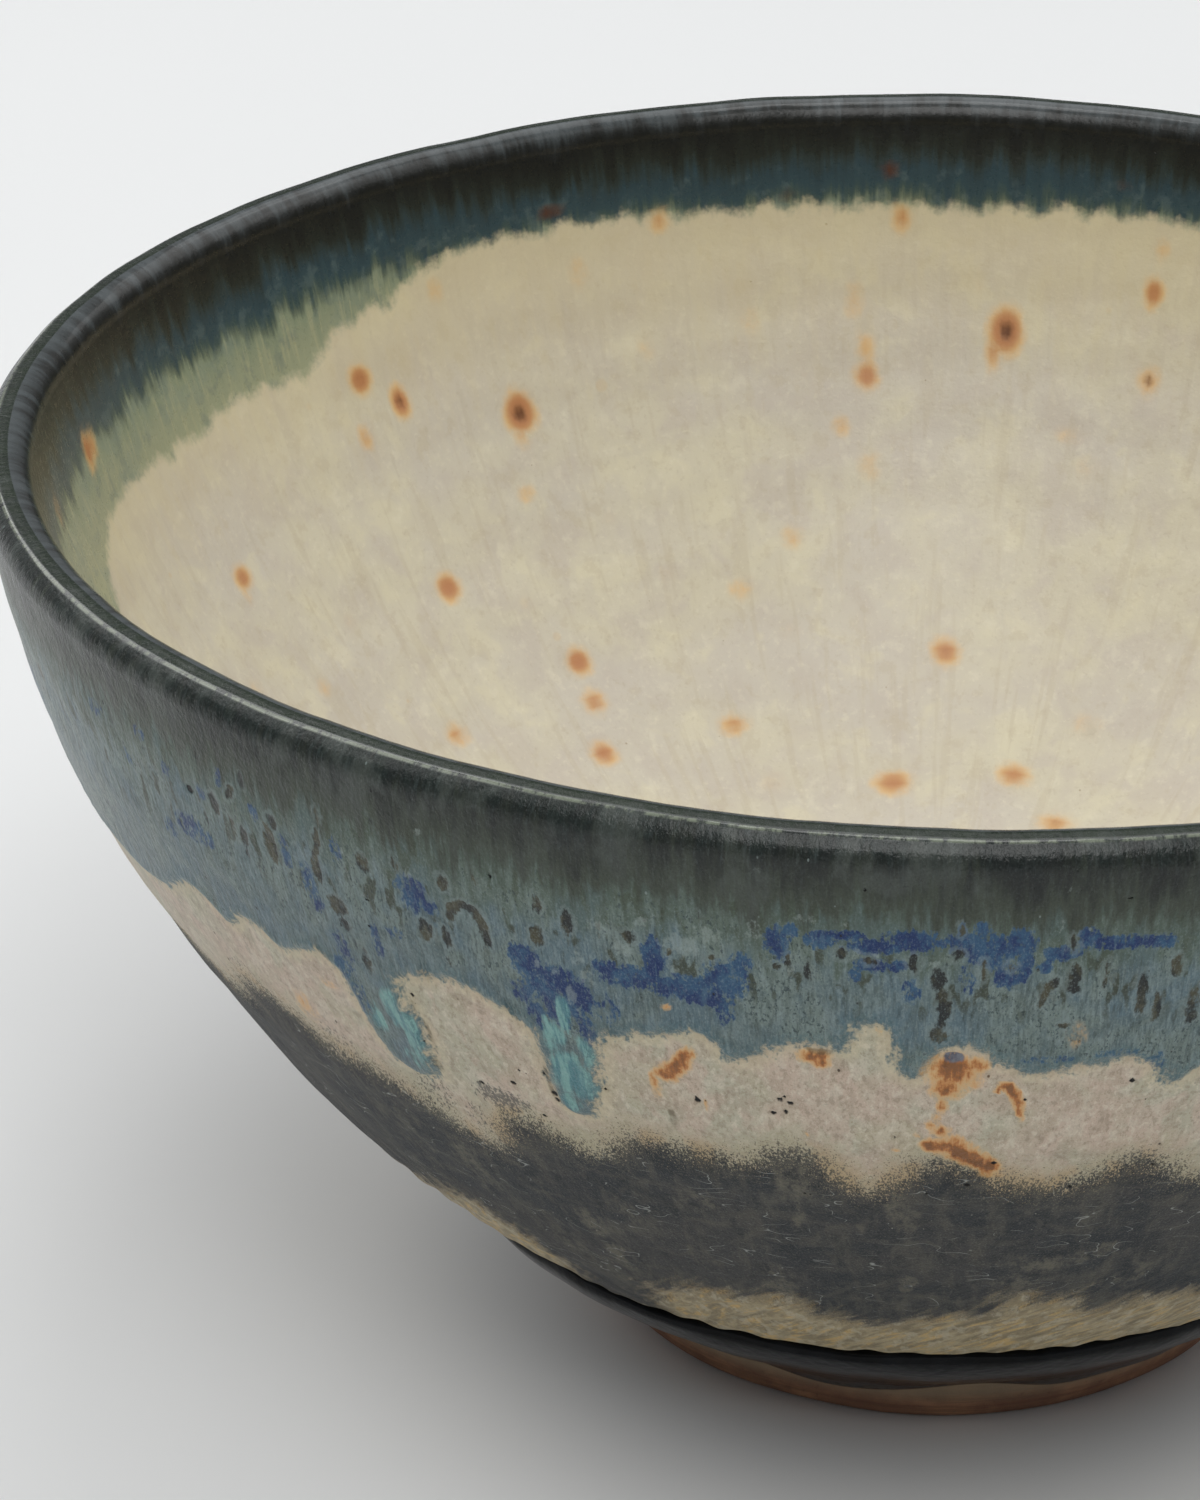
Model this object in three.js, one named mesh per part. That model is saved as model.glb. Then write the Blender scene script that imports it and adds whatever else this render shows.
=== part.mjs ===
// Matcha bowl (chawan): a wide, hand-thrown stoneware tea bowl on a small
// trimmed foot ring, with its glaze coats as separate skins.
// Units are millimetres, +Z is up. The origin is the centre of the foot ring,
// on the surface that the bowl stands on.

import * as THREE from 'three';
import { mergeVertices } from 'three/addons/utils/BufferGeometryUtils.js';

// ---------------------------------------------------------------- dimensions

const RIM_RADIUS = 62.5;          // outside of the glazed lip
const BOWL_HEIGHT = 63.65;        // foot to top of the glazed lip
const LIP_THICKNESS = 3.2;        // over both glaze coats

const FOOT_OUTER_RADIUS = 22.0;   // where the foot meets the table
const FOOT_TOP_RADIUS = 24.9;     // the foot flares up to the belly
const FOOT_INNER_RADIUS = 17.5;
const FOOT_HEIGHT = 6.3;          // ring height, also the depth of the recess
const FLOOR_UNDERSIDE_Z = 6.6;    // underside of the bowl's floor in the recess
const FLOOR_TOP_Z = 13.5;         // clay floor inside, at the centre

const FIT_GAP = 0.3;              // between a skin and what it covers
const COAT = 0.4;                 // thickness of each glaze coat
const BAND_COAT = 0.3;            // the brushed band is the thinnest coat

const HEM_Z = 12.4;               // lower edge of the outside coat
const COAT_TOP_Z = 54.0;          // the pale coats end here, under the rim dip
const RIM_STEP_Z = 56.0;          // above this the rim dip lies on the clay
const BAND_LOW_Z = 20.0;          // brushed band on the lower belly
const BAND_HIGH_Z = 36.8;
const RIM_EDGE_Z = 47.0;          // mean lower edge of the rim dip, outside
const RIM_INNER_EDGE_Z = 51.6;    // lower edge of the rim dip, inside

const SEGMENTS = 48;              // round pieces
const RIM_SEGMENTS = 64;          // the rim dip, for its ragged edge

// Clay wall, outside, from the underside of the belly to the lip (r, z).
const WALL_OUT = [
  [25.4, 6.6], [26.2, 7.2], [28.5, 9.3], [31.9, 12.4], [36.2, 15.9],
  [40.4, 20.0], [46.2, 27.0], [50.95, 34.0], [54.95, 41.0], [57.95, 48.0],
  [60.1, 55.0], [61.6, 60.6],
];

// Clay wall, inside, from the centre of the floor to the lip (r, z).
const WALL_IN = [
  [0, FLOOR_TOP_Z], [7.5, 13.6], [15.7, 14.4], [24.6, 16.6], [32.9, 20.5],
  [40.5, 26.5], [46.6, 33.6], [51.35, 40.7], [55.1, 47.8], [57.9, 54.9],
  [59.9, 60.6],
];

// ------------------------------------------------------------------ profiles

const vec = ([r, z]) => new THREE.Vector2(r, z);
const outerCurve = new THREE.SplineCurve(WALL_OUT.slice(2).map(vec));
const innerCurve = new THREE.SplineCurve(WALL_IN.map(vec));

// Spline parameter at a given height (both curves rise all the way).
function parameterAt(curve, z) {
  let lo = 0;
  let hi = 1;
  for (let i = 0; i < 60; i++) {
    const mid = (lo + hi) / 2;
    if (curve.getPoint(mid).y < z) lo = mid; else hi = mid;
  }
  return (lo + hi) / 2;
}

// Point on the wall at height z, moved off the clay by a distance.
function offWall(curve, side, z, off) {
  const u = parameterAt(curve, z);
  const p = curve.getPoint(u);
  const t = curve.getTangent(u);
  return new THREE.Vector2(p.x + side * t.y * off, p.y - side * t.x * off);
}
const outside = (z, off) => offWall(outerCurve, 1, z, off);
const inside = (z, off) => offWall(innerCurve, -1, z, off);

// The lip: half circles around the top of the wall, at a distance off the clay.
const LIP_COAT = FIT_GAP + COAT;
const CLAY_LIP_OUT = RIM_RADIUS - LIP_COAT;
const CLAY_LIP_IN = RIM_RADIUS - LIP_THICKNESS + LIP_COAT;
const LIP_CENTRE_R = (CLAY_LIP_OUT + CLAY_LIP_IN) / 2;
const CLAY_LIP_R = (CLAY_LIP_OUT - CLAY_LIP_IN) / 2;
const LIP_CENTRE_Z = BOWL_HEIGHT - LIP_COAT - CLAY_LIP_R;
function lipArc(off, steps) {
  const points = [];
  for (let i = 0; i <= steps; i++) {
    const a = (Math.PI * i) / steps;
    points.push(new THREE.Vector2(
      LIP_CENTRE_R + (CLAY_LIP_R + off) * Math.cos(a),
      LIP_CENTRE_Z + (CLAY_LIP_R + off) * Math.sin(a),
    ));
  }
  return points; // from the outside, over the top, to the inside
}

// --------------------------------------------------------------------- lathe

// Turns an outline of (r, z) points about Z. The outline either starts and
// ends on the axis, or is closed by repeating its first point.
// reshape(index, theta) may give a point of its own for each turn angle.
function turn(outline, segments = SEGMENTS, reshape = null) {
  let area = 0;
  for (let i = 0; i < outline.length; i++) {
    const a = outline[i];
    const b = outline[(i + 1) % outline.length];
    area += a.x * b.y - b.x * a.y;
  }
  const order = outline.map((_, i) => i);
  if (area < 0) order.reverse();
  const onAxis = outline[0].x === 0;
  if (!onAxis) order.push(order[0]);
  const points = order.map((i) => outline[i].clone());
  const lathe = new THREE.LatheGeometry(points, segments);
  lathe.rotateX(Math.PI / 2); // the lathe turns about Y, the bowl about Z
  if (reshape) {
    const position = lathe.attributes.position;
    for (let s = 0; s <= segments; s++) {
      const theta = ((s % segments) / segments) * 2 * Math.PI - Math.PI / 2;
      for (let j = 0; j < points.length; j++) {
        const p = reshape(order[j], theta);
        position.setXYZ(s * points.length + j, p.x * Math.cos(theta), p.x * Math.sin(theta), p.y);
      }
    }
  }
  lathe.deleteAttribute('normal');
  lathe.deleteAttribute('uv');
  const merged = mergeVertices(lathe, 1e-4);
  const index = [];
  for (let i = 0; i < merged.index.count; i += 3) {
    const [a, b, c] = [0, 1, 2].map((k) => merged.index.getX(i + k));
    if (a !== b && b !== c && c !== a) index.push(a, b, c);
  }
  merged.setIndex(index);
  merged.computeVertexNormals();
  return merged;
}

const bowl = new THREE.Group();
bowl.name = 'matcha_bowl';
function add(name, geometry, color, roughness) {
  const mesh = new THREE.Mesh(
    geometry,
    new THREE.MeshStandardMaterial({ color, roughness, metalness: 0 }),
  );
  mesh.name = name;
  bowl.add(mesh);
}

// ----------------------------------------------------------------- clay body

// Thrown wall and floor. The flat underside sits on the foot ring.
{
  const outline = [
    new THREE.Vector2(0, FLOOR_UNDERSIDE_Z),
    ...WALL_OUT.map(vec),
    ...lipArc(0, 6),
    ...WALL_IN.slice().reverse().map(vec),
  ];
  add('clay_body', turn(outline), 0x8a5a3c, 0.9);
}

// ----------------------------------------------------------------- foot ring

// Trimmed ring under the floor; its inside is the hollow of the foot.
{
  const chamfer = 0.5;
  const outline = [
    [FOOT_INNER_RADIUS + chamfer, 0],
    [FOOT_OUTER_RADIUS - chamfer * 0.6, 0],
    [FOOT_OUTER_RADIUS + 0.2, chamfer],
    [FOOT_TOP_RADIUS, FOOT_HEIGHT],
    [FOOT_INNER_RADIUS - 0.7, FOOT_HEIGHT],
    [FOOT_INNER_RADIUS, chamfer],
  ].map(vec);
  add('foot_ring', turn(outline), 0x5a3a2a, 0.85);
}

// --------------------------------------------------------------- glaze coats

// Inside coat, from the centre of the floor to under the rim dip.
{
  const heights = [13.62, 14.4, 16.6, 20.5, 26.5, 33.6, 40.7, 47.5, COAT_TOP_Z];
  const near = heights.map((z) => inside(z, FIT_GAP));
  const far = heights.map((z) => inside(z, FIT_GAP + COAT));
  const outline = [
    new THREE.Vector2(0, FLOOR_TOP_Z + FIT_GAP),
    ...near,
    ...far.reverse(),
    new THREE.Vector2(0, FLOOR_TOP_Z + FIT_GAP + COAT),
  ];
  add('liner_glaze', turn(outline), 0xcfc6a8, 0.35);
}

// Outside pale coat, from the hem above the foot to under the rim dip.
{
  const heights = [HEM_Z, 15.9, 20, 27, 34, 41, 47.5, COAT_TOP_Z];
  const outline = [
    ...heights.map((z) => outside(z, FIT_GAP)),
    ...heights.map((z) => outside(z, FIT_GAP + COAT)).reverse(),
  ];
  add('outer_glaze', turn(outline), 0xbeb2a5, 0.45);
}

// Dark band brushed over the outside coat on the lower belly.
{
  const under = FIT_GAP + COAT + FIT_GAP;
  const heights = [BAND_LOW_Z, 24, 28, 32.5, BAND_HIGH_Z];
  const outline = [
    ...heights.map((z) => outside(z, under)),
    ...heights.map((z) => outside(z, under + BAND_COAT)).reverse(),
  ];
  add('iron_band', turn(outline), 0x48484a, 0.6);
}

// Bead of dark glaze that pools where the belly meets the foot.
{
  const outline = [
    [24.35, 4.15], [25.75, 6.45], [26.75, 7.25], [28.9, 9.15], [31.5, 11.5],
    [32.45, 11.4], [31.9, 10.3], [29.9, 8.2], [27.6, 6.2], [26.0, 4.6], [25.0, 3.95],
  ].map(vec);
  add('foot_glaze_roll', turn(outline), 0x1e1f21, 0.2);
}

// Rim dip: the dark glaze that saddles the lip and runs down both sides, over
// the pale coats. Its lower edge outside is ragged, with two long runs.
function rimEdge(theta) {
  const lobes = 0.9 * Math.sin(3 * theta + 0.6) + 0.7 * Math.sin(7 * theta + 1.9)
    + 0.6 * Math.sin(13 * theta + 0.4);
  const run = (centre, width, drop) => {
    const d = Math.atan2(Math.sin(theta - centre), Math.cos(theta - centre)) / width;
    return drop * Math.exp(-d * d);
  };
  return RIM_EDGE_Z + lobes - run(-1.946, 0.07, 5.6) - run(-2.155, 0.07, 6.2) - run(1.3, 0.07, 4.4);
}
{
  const low = FIT_GAP + COAT + FIT_GAP;
  // Each entry is a height and a distance off the clay; wall is in or out.
  const lap = [
    { z: RIM_EDGE_Z, off: low, edge: 1 }, { z: 50.5, off: low, edge: 0.5 },
    { z: COAT_TOP_Z + 0.4, off: low },
    { z: RIM_STEP_Z, off: FIT_GAP }, { z: 58.5, off: FIT_GAP },
  ];
  const entries = [
    ...lap.map((e) => ({ ...e, wall: outside })),
    ...lipArc(FIT_GAP, 6).map((point) => ({ point })),
    { z: 58.5, off: FIT_GAP, wall: inside }, { z: RIM_STEP_Z, off: FIT_GAP, wall: inside },
    { z: COAT_TOP_Z + 0.4, off: low, wall: inside }, { z: RIM_INNER_EDGE_Z, off: low, wall: inside },
    { z: RIM_INNER_EDGE_Z, off: low + COAT, wall: inside },
    { z: COAT_TOP_Z + 0.8, off: low + COAT, wall: inside },
    { z: RIM_STEP_Z + 0.6, off: FIT_GAP + COAT, wall: inside },
    { z: 58.5, off: FIT_GAP + COAT, wall: inside },
    ...lipArc(LIP_COAT, 6).reverse().map((point) => ({ point })),
    ...lap.slice().reverse().map((e) => ({
      ...e,
      z: e.z + (e.z === COAT_TOP_Z + 0.4 ? 0.4 : 0) + (e.z === RIM_STEP_Z ? 0.6 : 0),
      off: e.off + COAT,
      wall: outside,
    })),
  ];
  const place = (e, theta) => {
    if (e.point) return e.point;
    const drop = theta === null || !e.edge ? 0 : (rimEdge(theta) - RIM_EDGE_Z) * e.edge;
    return e.wall(e.z + drop, e.off);
  };
  const outline = entries.map((e) => place(e, null));
  add('rim_glaze', turn(outline, RIM_SEGMENTS, (i, theta) => place(entries[i], theta)), 0x3c3e3c, 0.3);
}

export default bowl;
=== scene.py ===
import math

import bpy
import numpy as np
from mathutils import Matrix, Vector


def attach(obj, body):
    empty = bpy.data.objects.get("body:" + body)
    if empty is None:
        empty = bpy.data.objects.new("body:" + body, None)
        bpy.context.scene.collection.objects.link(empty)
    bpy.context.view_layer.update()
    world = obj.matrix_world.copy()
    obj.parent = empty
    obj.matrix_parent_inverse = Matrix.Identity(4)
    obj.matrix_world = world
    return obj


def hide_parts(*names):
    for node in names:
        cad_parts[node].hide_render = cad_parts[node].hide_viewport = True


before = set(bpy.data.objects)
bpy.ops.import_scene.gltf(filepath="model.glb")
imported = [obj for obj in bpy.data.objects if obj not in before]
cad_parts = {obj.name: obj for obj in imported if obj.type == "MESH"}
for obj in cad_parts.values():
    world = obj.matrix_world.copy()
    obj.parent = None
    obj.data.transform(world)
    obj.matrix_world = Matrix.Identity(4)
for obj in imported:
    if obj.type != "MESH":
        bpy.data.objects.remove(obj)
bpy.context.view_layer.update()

# Everything below is worked out in millimetres and degrees; meshes are written in metres.
# theta is counted from +X, counter-clockwise; 270 is the side towards the camera.

MM = 0.001
TAU = 2 * math.pi


# ---------------------------------------------------------------------------------------------
# small numerical helpers
# ---------------------------------------------------------------------------------------------

def smooth(a, b, x):
    t = np.clip((x - a) / (b - a), 0, 1)
    return t * t * (3 - 2 * t)


def spline(xs, ys):
    """Natural cubic spline through the points, as a function."""
    xs, ys = np.asarray(xs, float), np.asarray(ys, float)
    n = len(xs)
    h = np.diff(xs)
    A = np.zeros((n, n))
    b = np.zeros(n)
    A[0, 0] = A[-1, -1] = 1
    for i in range(1, n - 1):
        A[i, i - 1], A[i, i], A[i, i + 1] = h[i - 1], 2 * (h[i - 1] + h[i]), h[i]
        b[i] = 3 * ((ys[i + 1] - ys[i]) / h[i] - (ys[i] - ys[i - 1]) / h[i - 1])
    c = np.linalg.solve(A, b)

    def f(x):
        x = np.asarray(x, float)
        k = np.clip(np.searchsorted(xs, x) - 1, 0, n - 2)
        d = x - xs[k]
        bb = (ys[k + 1] - ys[k]) / h[k] - h[k] * (2 * c[k] + c[k + 1]) / 3
        dd = (c[k + 1] - c[k]) / (3 * h[k])
        return ys[k] + bb * d + c[k] * d * d + dd * d ** 3

    return f


def waves(seed, count, m_range, k_range, power=0.0):
    """A smooth random field on (theta in radians, s in mm), periodic in theta, about -1 to 1."""
    rng = np.random.RandomState(seed)
    m = rng.randint(m_range[0], m_range[1] + 1, count)
    k = rng.uniform(k_range[0], k_range[1], count) * rng.choice([-1, 1], count)
    p = rng.uniform(0, TAU, count)
    a = (1.0 / np.maximum(m, 1)) ** power
    a = a / math.sqrt((a ** 2).sum() / 2)

    def f(theta, s):
        out = np.zeros(np.broadcast(theta, s).shape)
        for mi, ki, pi, ai in zip(m, k, p, a):
            out += ai * np.cos(mi * theta + ki * s + pi)
        return out * 0.6

    return f


# ---------------------------------------------------------------------------------------------
# the bowl's section
# ---------------------------------------------------------------------------------------------

LIP_R = 1.6
LIP_MID_R, LIP_MID_Z = 60.9, 62.05
out_r = spline(
    [11.2, 12.87, 15.87, 20.0, 27.0, 34.0, 41.0, 48.0, 55.0, 62.05],
    [31.9, 34.0, 37.33, 41.52, 47.29, 51.95, 55.98, 58.96, 61.04, 62.5])
_in_pts = np.array([(0, 14.2), (7.5, 14.35), (15.5, 15.15), (24.3, 17.3), (32.4, 21.1), (40.0, 27.0),
                    (46.0, 34.0), (50.7, 41.0), (54.4, 48.0), (57.2, 55.0), (59.3, 62.05)], float)
_in_t = np.concatenate([[0], np.cumsum(np.hypot(*np.diff(_in_pts, axis=0).T))])
in_r, in_z = spline(_in_t, _in_pts[:, 0]), spline(_in_t, _in_pts[:, 1])


def _meridian():
    """The glazed section as one fine line: up the outside, over the lip, down the inside to the centre.
    w is the length along it from the lip's top, positive outside and negative inside."""
    zo = np.linspace(11.2, 62.05, 900)
    outside = np.stack([out_r(zo), zo], 1)
    a = np.linspace(0, math.pi, 120)[1:-1]
    lip = np.stack([LIP_MID_R + LIP_R * np.cos(a), LIP_MID_Z + LIP_R * np.sin(a)], 1)
    ti = np.linspace(_in_t[-1], 0, 1200)
    inside = np.stack([in_r(ti), in_z(ti)], 1)
    line = np.concatenate([outside, lip, inside])
    length = np.concatenate([[0], np.cumsum(np.hypot(*np.diff(line, axis=0).T))])
    top = length[900 + 59]
    w = top - length
    t = np.gradient(line, axis=0)
    t /= np.hypot(t[:, 0], t[:, 1])[:, None]
    n = np.stack([t[:, 1], -t[:, 0]], 1)
    # soften the normals where the wall meets the lip
    for _ in range(6):
        n[1:-1] = (n[:-2] + 2 * n[1:-1] + n[2:]) / 4
    n /= np.hypot(n[:, 0], n[:, 1])[:, None]
    n[-1] = (0, 1)
    return w[::-1], line[::-1], n[::-1]


MW, MP, MN = _meridian()
W_MIN, W_MAX = MW[0], MW[-1]


def on_section(w, h):
    r = np.interp(w, MW, MP[:, 0]) + h * np.interp(w, MW, MN[:, 0])
    z = np.interp(w, MW, MP[:, 1]) + h * np.interp(w, MW, MN[:, 1])
    return r, z


_out = MW > 0
W_OF_Z_OUT = lambda z: np.interp(z, MP[_out][::-1, 1], MW[_out][::-1])
_ins = MW < 0
W_OF_Z_IN = lambda z: np.interp(z, MP[_ins][:, 1], MW[_ins])


# the hand in it: an out-of-round rim, an uneven height, and faint throwing rings
_rim_wave = waves(11, 9, (3, 9), (0.0, 0.02), 0.8)
_rim_rise = waves(12, 9, (4, 12), (0.0, 0.01), 0.7)
_lip_fine = waves(13, 24, (14, 60), (0.0, 0.05), 0.3)
_rings = waves(14, 10, (0, 2), (0.5, 1.5))
_dents = waves(15, 26, (2, 14), (0.03, 0.25), 0.5)


def place(theta, w, h):
    """Point of the bowl at turn angle theta (radians), section length w and height h over the glaze line."""
    r, z = on_section(w, h)
    k = np.clip((z - 20) / 43.65, 0, 1)
    ring = 0.05 * _rings(theta, w) * smooth(2, 8, np.abs(w)) + 0.07 * _dents(theta, w) * smooth(1, 6, np.abs(w))
    lip = 1 - smooth(1, 7, np.abs(w))
    rr = r + k * (0.032 * np.cos(2 * theta) - 0.389 * np.sin(2 * theta)) + k * 0.09 * _rim_wave(theta, w)
    zz = (z + k * (-0.142 * np.cos(theta) + 0.020 * np.sin(theta) - 0.446 * np.cos(2 * theta) + 0.110 * np.sin(2 * theta))
          + k * 0.05 * _rim_rise(theta, w) + lip * 0.035 * _lip_fine(theta, w))
    nr = np.interp(w, MW, MN[:, 0])
    nz = np.interp(w, MW, MN[:, 1])
    rr = rr + nr * ring
    zz = zz + nz * ring
    return rr * np.cos(theta), rr * np.sin(theta), zz


# ---------------------------------------------------------------------------------------------
# marks: where each glaze ends, and what has run, spotted and pitted in it
# ---------------------------------------------------------------------------------------------

# Lower edge of the rim dip outside, as (theta, z), from 205 to 291 degrees; it goes on round the back.
RIM_EDGE = [
    (205, 44.8), (209, 44.6), (212, 44.2), (215, 44.6), (217, 45.4), (218.4, 46.5), (219.8, 47.0), (221.6, 46.4),
    (222.8, 45.4), (223.4, 45.2), (224.4, 46.5), (225.8, 46.9), (227.2, 46.4), (228.0, 45.7), (229.0, 45.7),
    (230.2, 46.5), (231.4, 47.0), (232.4, 46.9), (233.2, 46.2), (233.7, 45.0), (233.9, 43.0), (234.3, 41.2), (234.7, 39.9),
    (235.6, 39.1), (236.6, 38.6), (237.5, 38.7), (238.3, 39.3), (238.8, 40.6), (239.0, 42.2), (238.9, 43.8),
    (238.5, 45.2), (238.1, 46.4), (238.2, 47.4), (239.2, 47.7), (240.2, 48.1), (241.2, 48.5), (242.1, 48.9), (243.0, 48.6),
    (244.0, 48.2), (245.2, 47.6), (246.2, 47.2), (246.9, 46.4), (247.25, 45.0), (247.35, 43.0), (247.45, 41.2),
    (247.8, 40.0), (248.6, 39.5), (249.5, 39.6), (250.2, 40.5), (250.8, 42.4), (251.1, 44.4), (251.4, 46.0), (252.0, 47.2),
    (253.2, 47.6), (254.6, 47.9), (255.8, 48.3), (257.0, 48.7), (258.0, 48.6), (258.6, 47.6), (259.2, 46.9),
    (260.0, 46.9), (260.8, 47.3), (261.6, 48.0), (262.6, 48.6), (264.0, 49.0), (265.0, 48.7), (265.8, 48.4), (266.1, 49.2),
    (266.2, 50.1), (266.8, 50.8), (267.6, 50.9), (268.2, 50.2), (268.3, 49.0), (268.5, 47.8), (269.0, 46.8),
    (269.7, 46.4), (270.3, 47.1), (270.7, 48.4), (271.3, 49.3), (272.2, 49.6), (273.2, 49.2), (274.0, 48.3),
    (275.0, 47.6), (276.2, 47.2), (277.3, 47.3), (278.6, 47.7), (280.0, 48.0), (281.2, 48.5), (282.3, 48.2),
    (283.1, 47.3), (283.8, 46.2), (284.5, 45.8), (285.2, 46.6), (286.2, 47.2), (288, 47.6), (291, 47.3),
]
# Upper and lower edges of the brushed band.
BAND_TOP = [
    (205, 38.6), (210, 37.4), (214, 36.8), (217, 36.6), (219, 38.4), (221, 39.6), (223, 39.6), (225, 39.0), (226.6, 37.8),
    (228.4, 37.0), (230.2, 37.3), (232, 37.0), (233.4, 36.5), (235, 36.1), (236.4, 35.3), (237.6, 34.6), (239, 33.6),
    (240.6, 33.7), (241.6, 35.0), (242.4, 36.7), (243.6, 37.3), (245, 37.0), (246.6, 36.6), (248, 35.9), (249.4, 35.8),
    (250.4, 37.0), (251.4, 37.9), (252.6, 38.4), (254, 38.2), (255.2, 37.8), (257, 38.3), (258.6, 37.6), (260.2, 38.2),
    (261.6, 39.2), (263.2, 39.4), (264.2, 38.2), (265, 37.1), (266.2, 36.4), (267.4, 36.3), (268.4, 36.9),
    (269.4, 38.2), (270.4, 39.3), (272, 39.4), (273.6, 38.8), (275, 37.7), (276.4, 37.0), (278.2, 36.9), (280, 37.3),
    (281.8, 38.4), (283.4, 39.3), (285, 38.5), (286.4, 37.1), (288, 36.4), (291, 37.2),
]
BAND_LOW = [
    (205, 20.5), (212, 20.0), (218, 20.6), (223, 21.4), (226, 22.4), (228.5, 23.6), (231, 24.5), (233, 22.8), (235, 21.0),
    (236.2, 19.4), (235.9, 17.8), (234.4, 16.2), (233.2, 14.6), (233.6, 12.6), (242.4, 12.4), (243.4, 14.0), (244.4, 16.2), (245.2, 18.2),
    (246.4, 19.6), (248.4, 20.2), (250.6, 21.0), (252.6, 21.4), (254.6, 21.4), (256.4, 21.2), (258, 22.2), (259.4, 22.4),
    (260.8, 21.4), (262, 20.0), (263.6, 19.3), (265.4, 19.0), (267, 19.4), (269, 19.9), (270.8, 20.6), (272.4, 21.3),
    (274, 21.2), (275.4, 20.8), (276.6, 22.0), (277.6, 23.8), (278.8, 24.4), (279.8, 22.8), (280.8, 23.0), (282.0, 23.6),
    (283.4, 22.6), (285, 21.0), (286.6, 20.8), (288, 21.4), (289.4, 22.7), (291, 22.0),
]
# Lower edge of the rim dip inside.
RIM_EDGE_IN = [
    (40, 56.5), (50, 56.4), (60, 56.5), (70, 56.6), (80, 56.3), (86, 56.0), (92, 56.2), (98, 56.0), (104, 56.3), (110, 56.5), (116, 56.7),
    (122, 56.7), (128, 56.6), (131, 56.2), (133.4, 55.6), (135, 54.8), (137, 54.2), (139.5, 53.9), (141.2, 53.1), (143, 52.2),
    (144.4, 51.7), (146, 52.2), (148, 52.4), (150, 52.1), (152, 52.4), (154, 52.3), (156, 51.5), (158, 51.6), (160, 52.0),
    (162, 51.8), (164.5, 52.4), (167, 52.5), (170, 52.3), (173, 52.2), (175.5, 51.5), (178, 50.6), (179.4, 48.2), (180.4, 47.6), (181.4, 48.6), (182.5, 50.0),
    (185, 50.6), (190, 51.8), (196, 53.4), (202, 55.0), (208, 56.3), (215, 56.8),
]


def around(points, seed, low, high, base, swing, runs=()):
    """Continues an edge round the side that isn't listed, so that it joins itself. Returns (theta, z) over one turn."""
    a, b = points[-1], (points[0][0] + 360, points[0][1])
    rng = np.random.RandomState(seed)
    t = np.arange(a[0] + 1.5, b[0] - 1.0, 1.15)
    tt = np.radians(t)
    v = base + swing * (0.55 * np.sin(5 * tt + rng.uniform(0, 6)) + 0.5 * np.sin(11 * tt + rng.uniform(0, 6))
                        + 0.45 * np.sin(19 * tt + rng.uniform(0, 6)) + 0.4 * np.sin(31 * tt + rng.uniform(0, 6))
                        + rng.normal(0, 0.28, len(t)))
    for centre, width, drop in runs:
        v = v - drop * np.exp(-((t - centre) / width) ** 4)
    fade = np.minimum(smooth(a[0], a[0] + 8, t), 1 - smooth(b[0] - 8, b[0], t))
    v = v * fade + np.interp(t, [a[0], b[0]], [a[1], b[1]]) * (1 - fade)
    return list(points) + list(zip(t, np.clip(v, low, high))) + [b]


RIM_EDGE = around(RIM_EDGE, 21, 38.4, 51, 47.3, 0.8, [(318, 1.9, 6.6), (352, 1.5, 4.6), (395, 2.2, 7.4), (412, 1.4, 4.4), (470, 1.7, 6.2), (515, 2.0, 5.4)])
BAND_TOP = around(BAND_TOP, 22, 33, 40.5, 37.6, 0.9)
BAND_LOW = around(BAND_LOW, 23, 17, 25.5, 21.0, 1.2)


def scalloped(points, low, high, pitch, depth, seed):
    e = np.array(points, float)
    rng = np.random.RandomState(seed)
    t = np.arange(low, high, pitch / 2)
    z = np.interp(t, e[:, 0], e[:, 1])
    z[::2] += depth * rng.uniform(0.2, 1.0, len(z[::2]))
    z[1::2] -= depth * rng.uniform(0.2, 1.0, len(z[1::2]))
    return [q for q in points if q[0] < low - 0.5] + list(zip(t, z)) + [q for q in points if q[0] > t[-1] + 0.5]


RIM_EDGE_IN = scalloped(RIM_EDGE_IN, 131.0, 177.0, 2.9, 0.42, 25)
RIM_EDGE_IN = around(RIM_EDGE_IN, 24, 50, 58, 56.4, 0.22)


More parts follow.
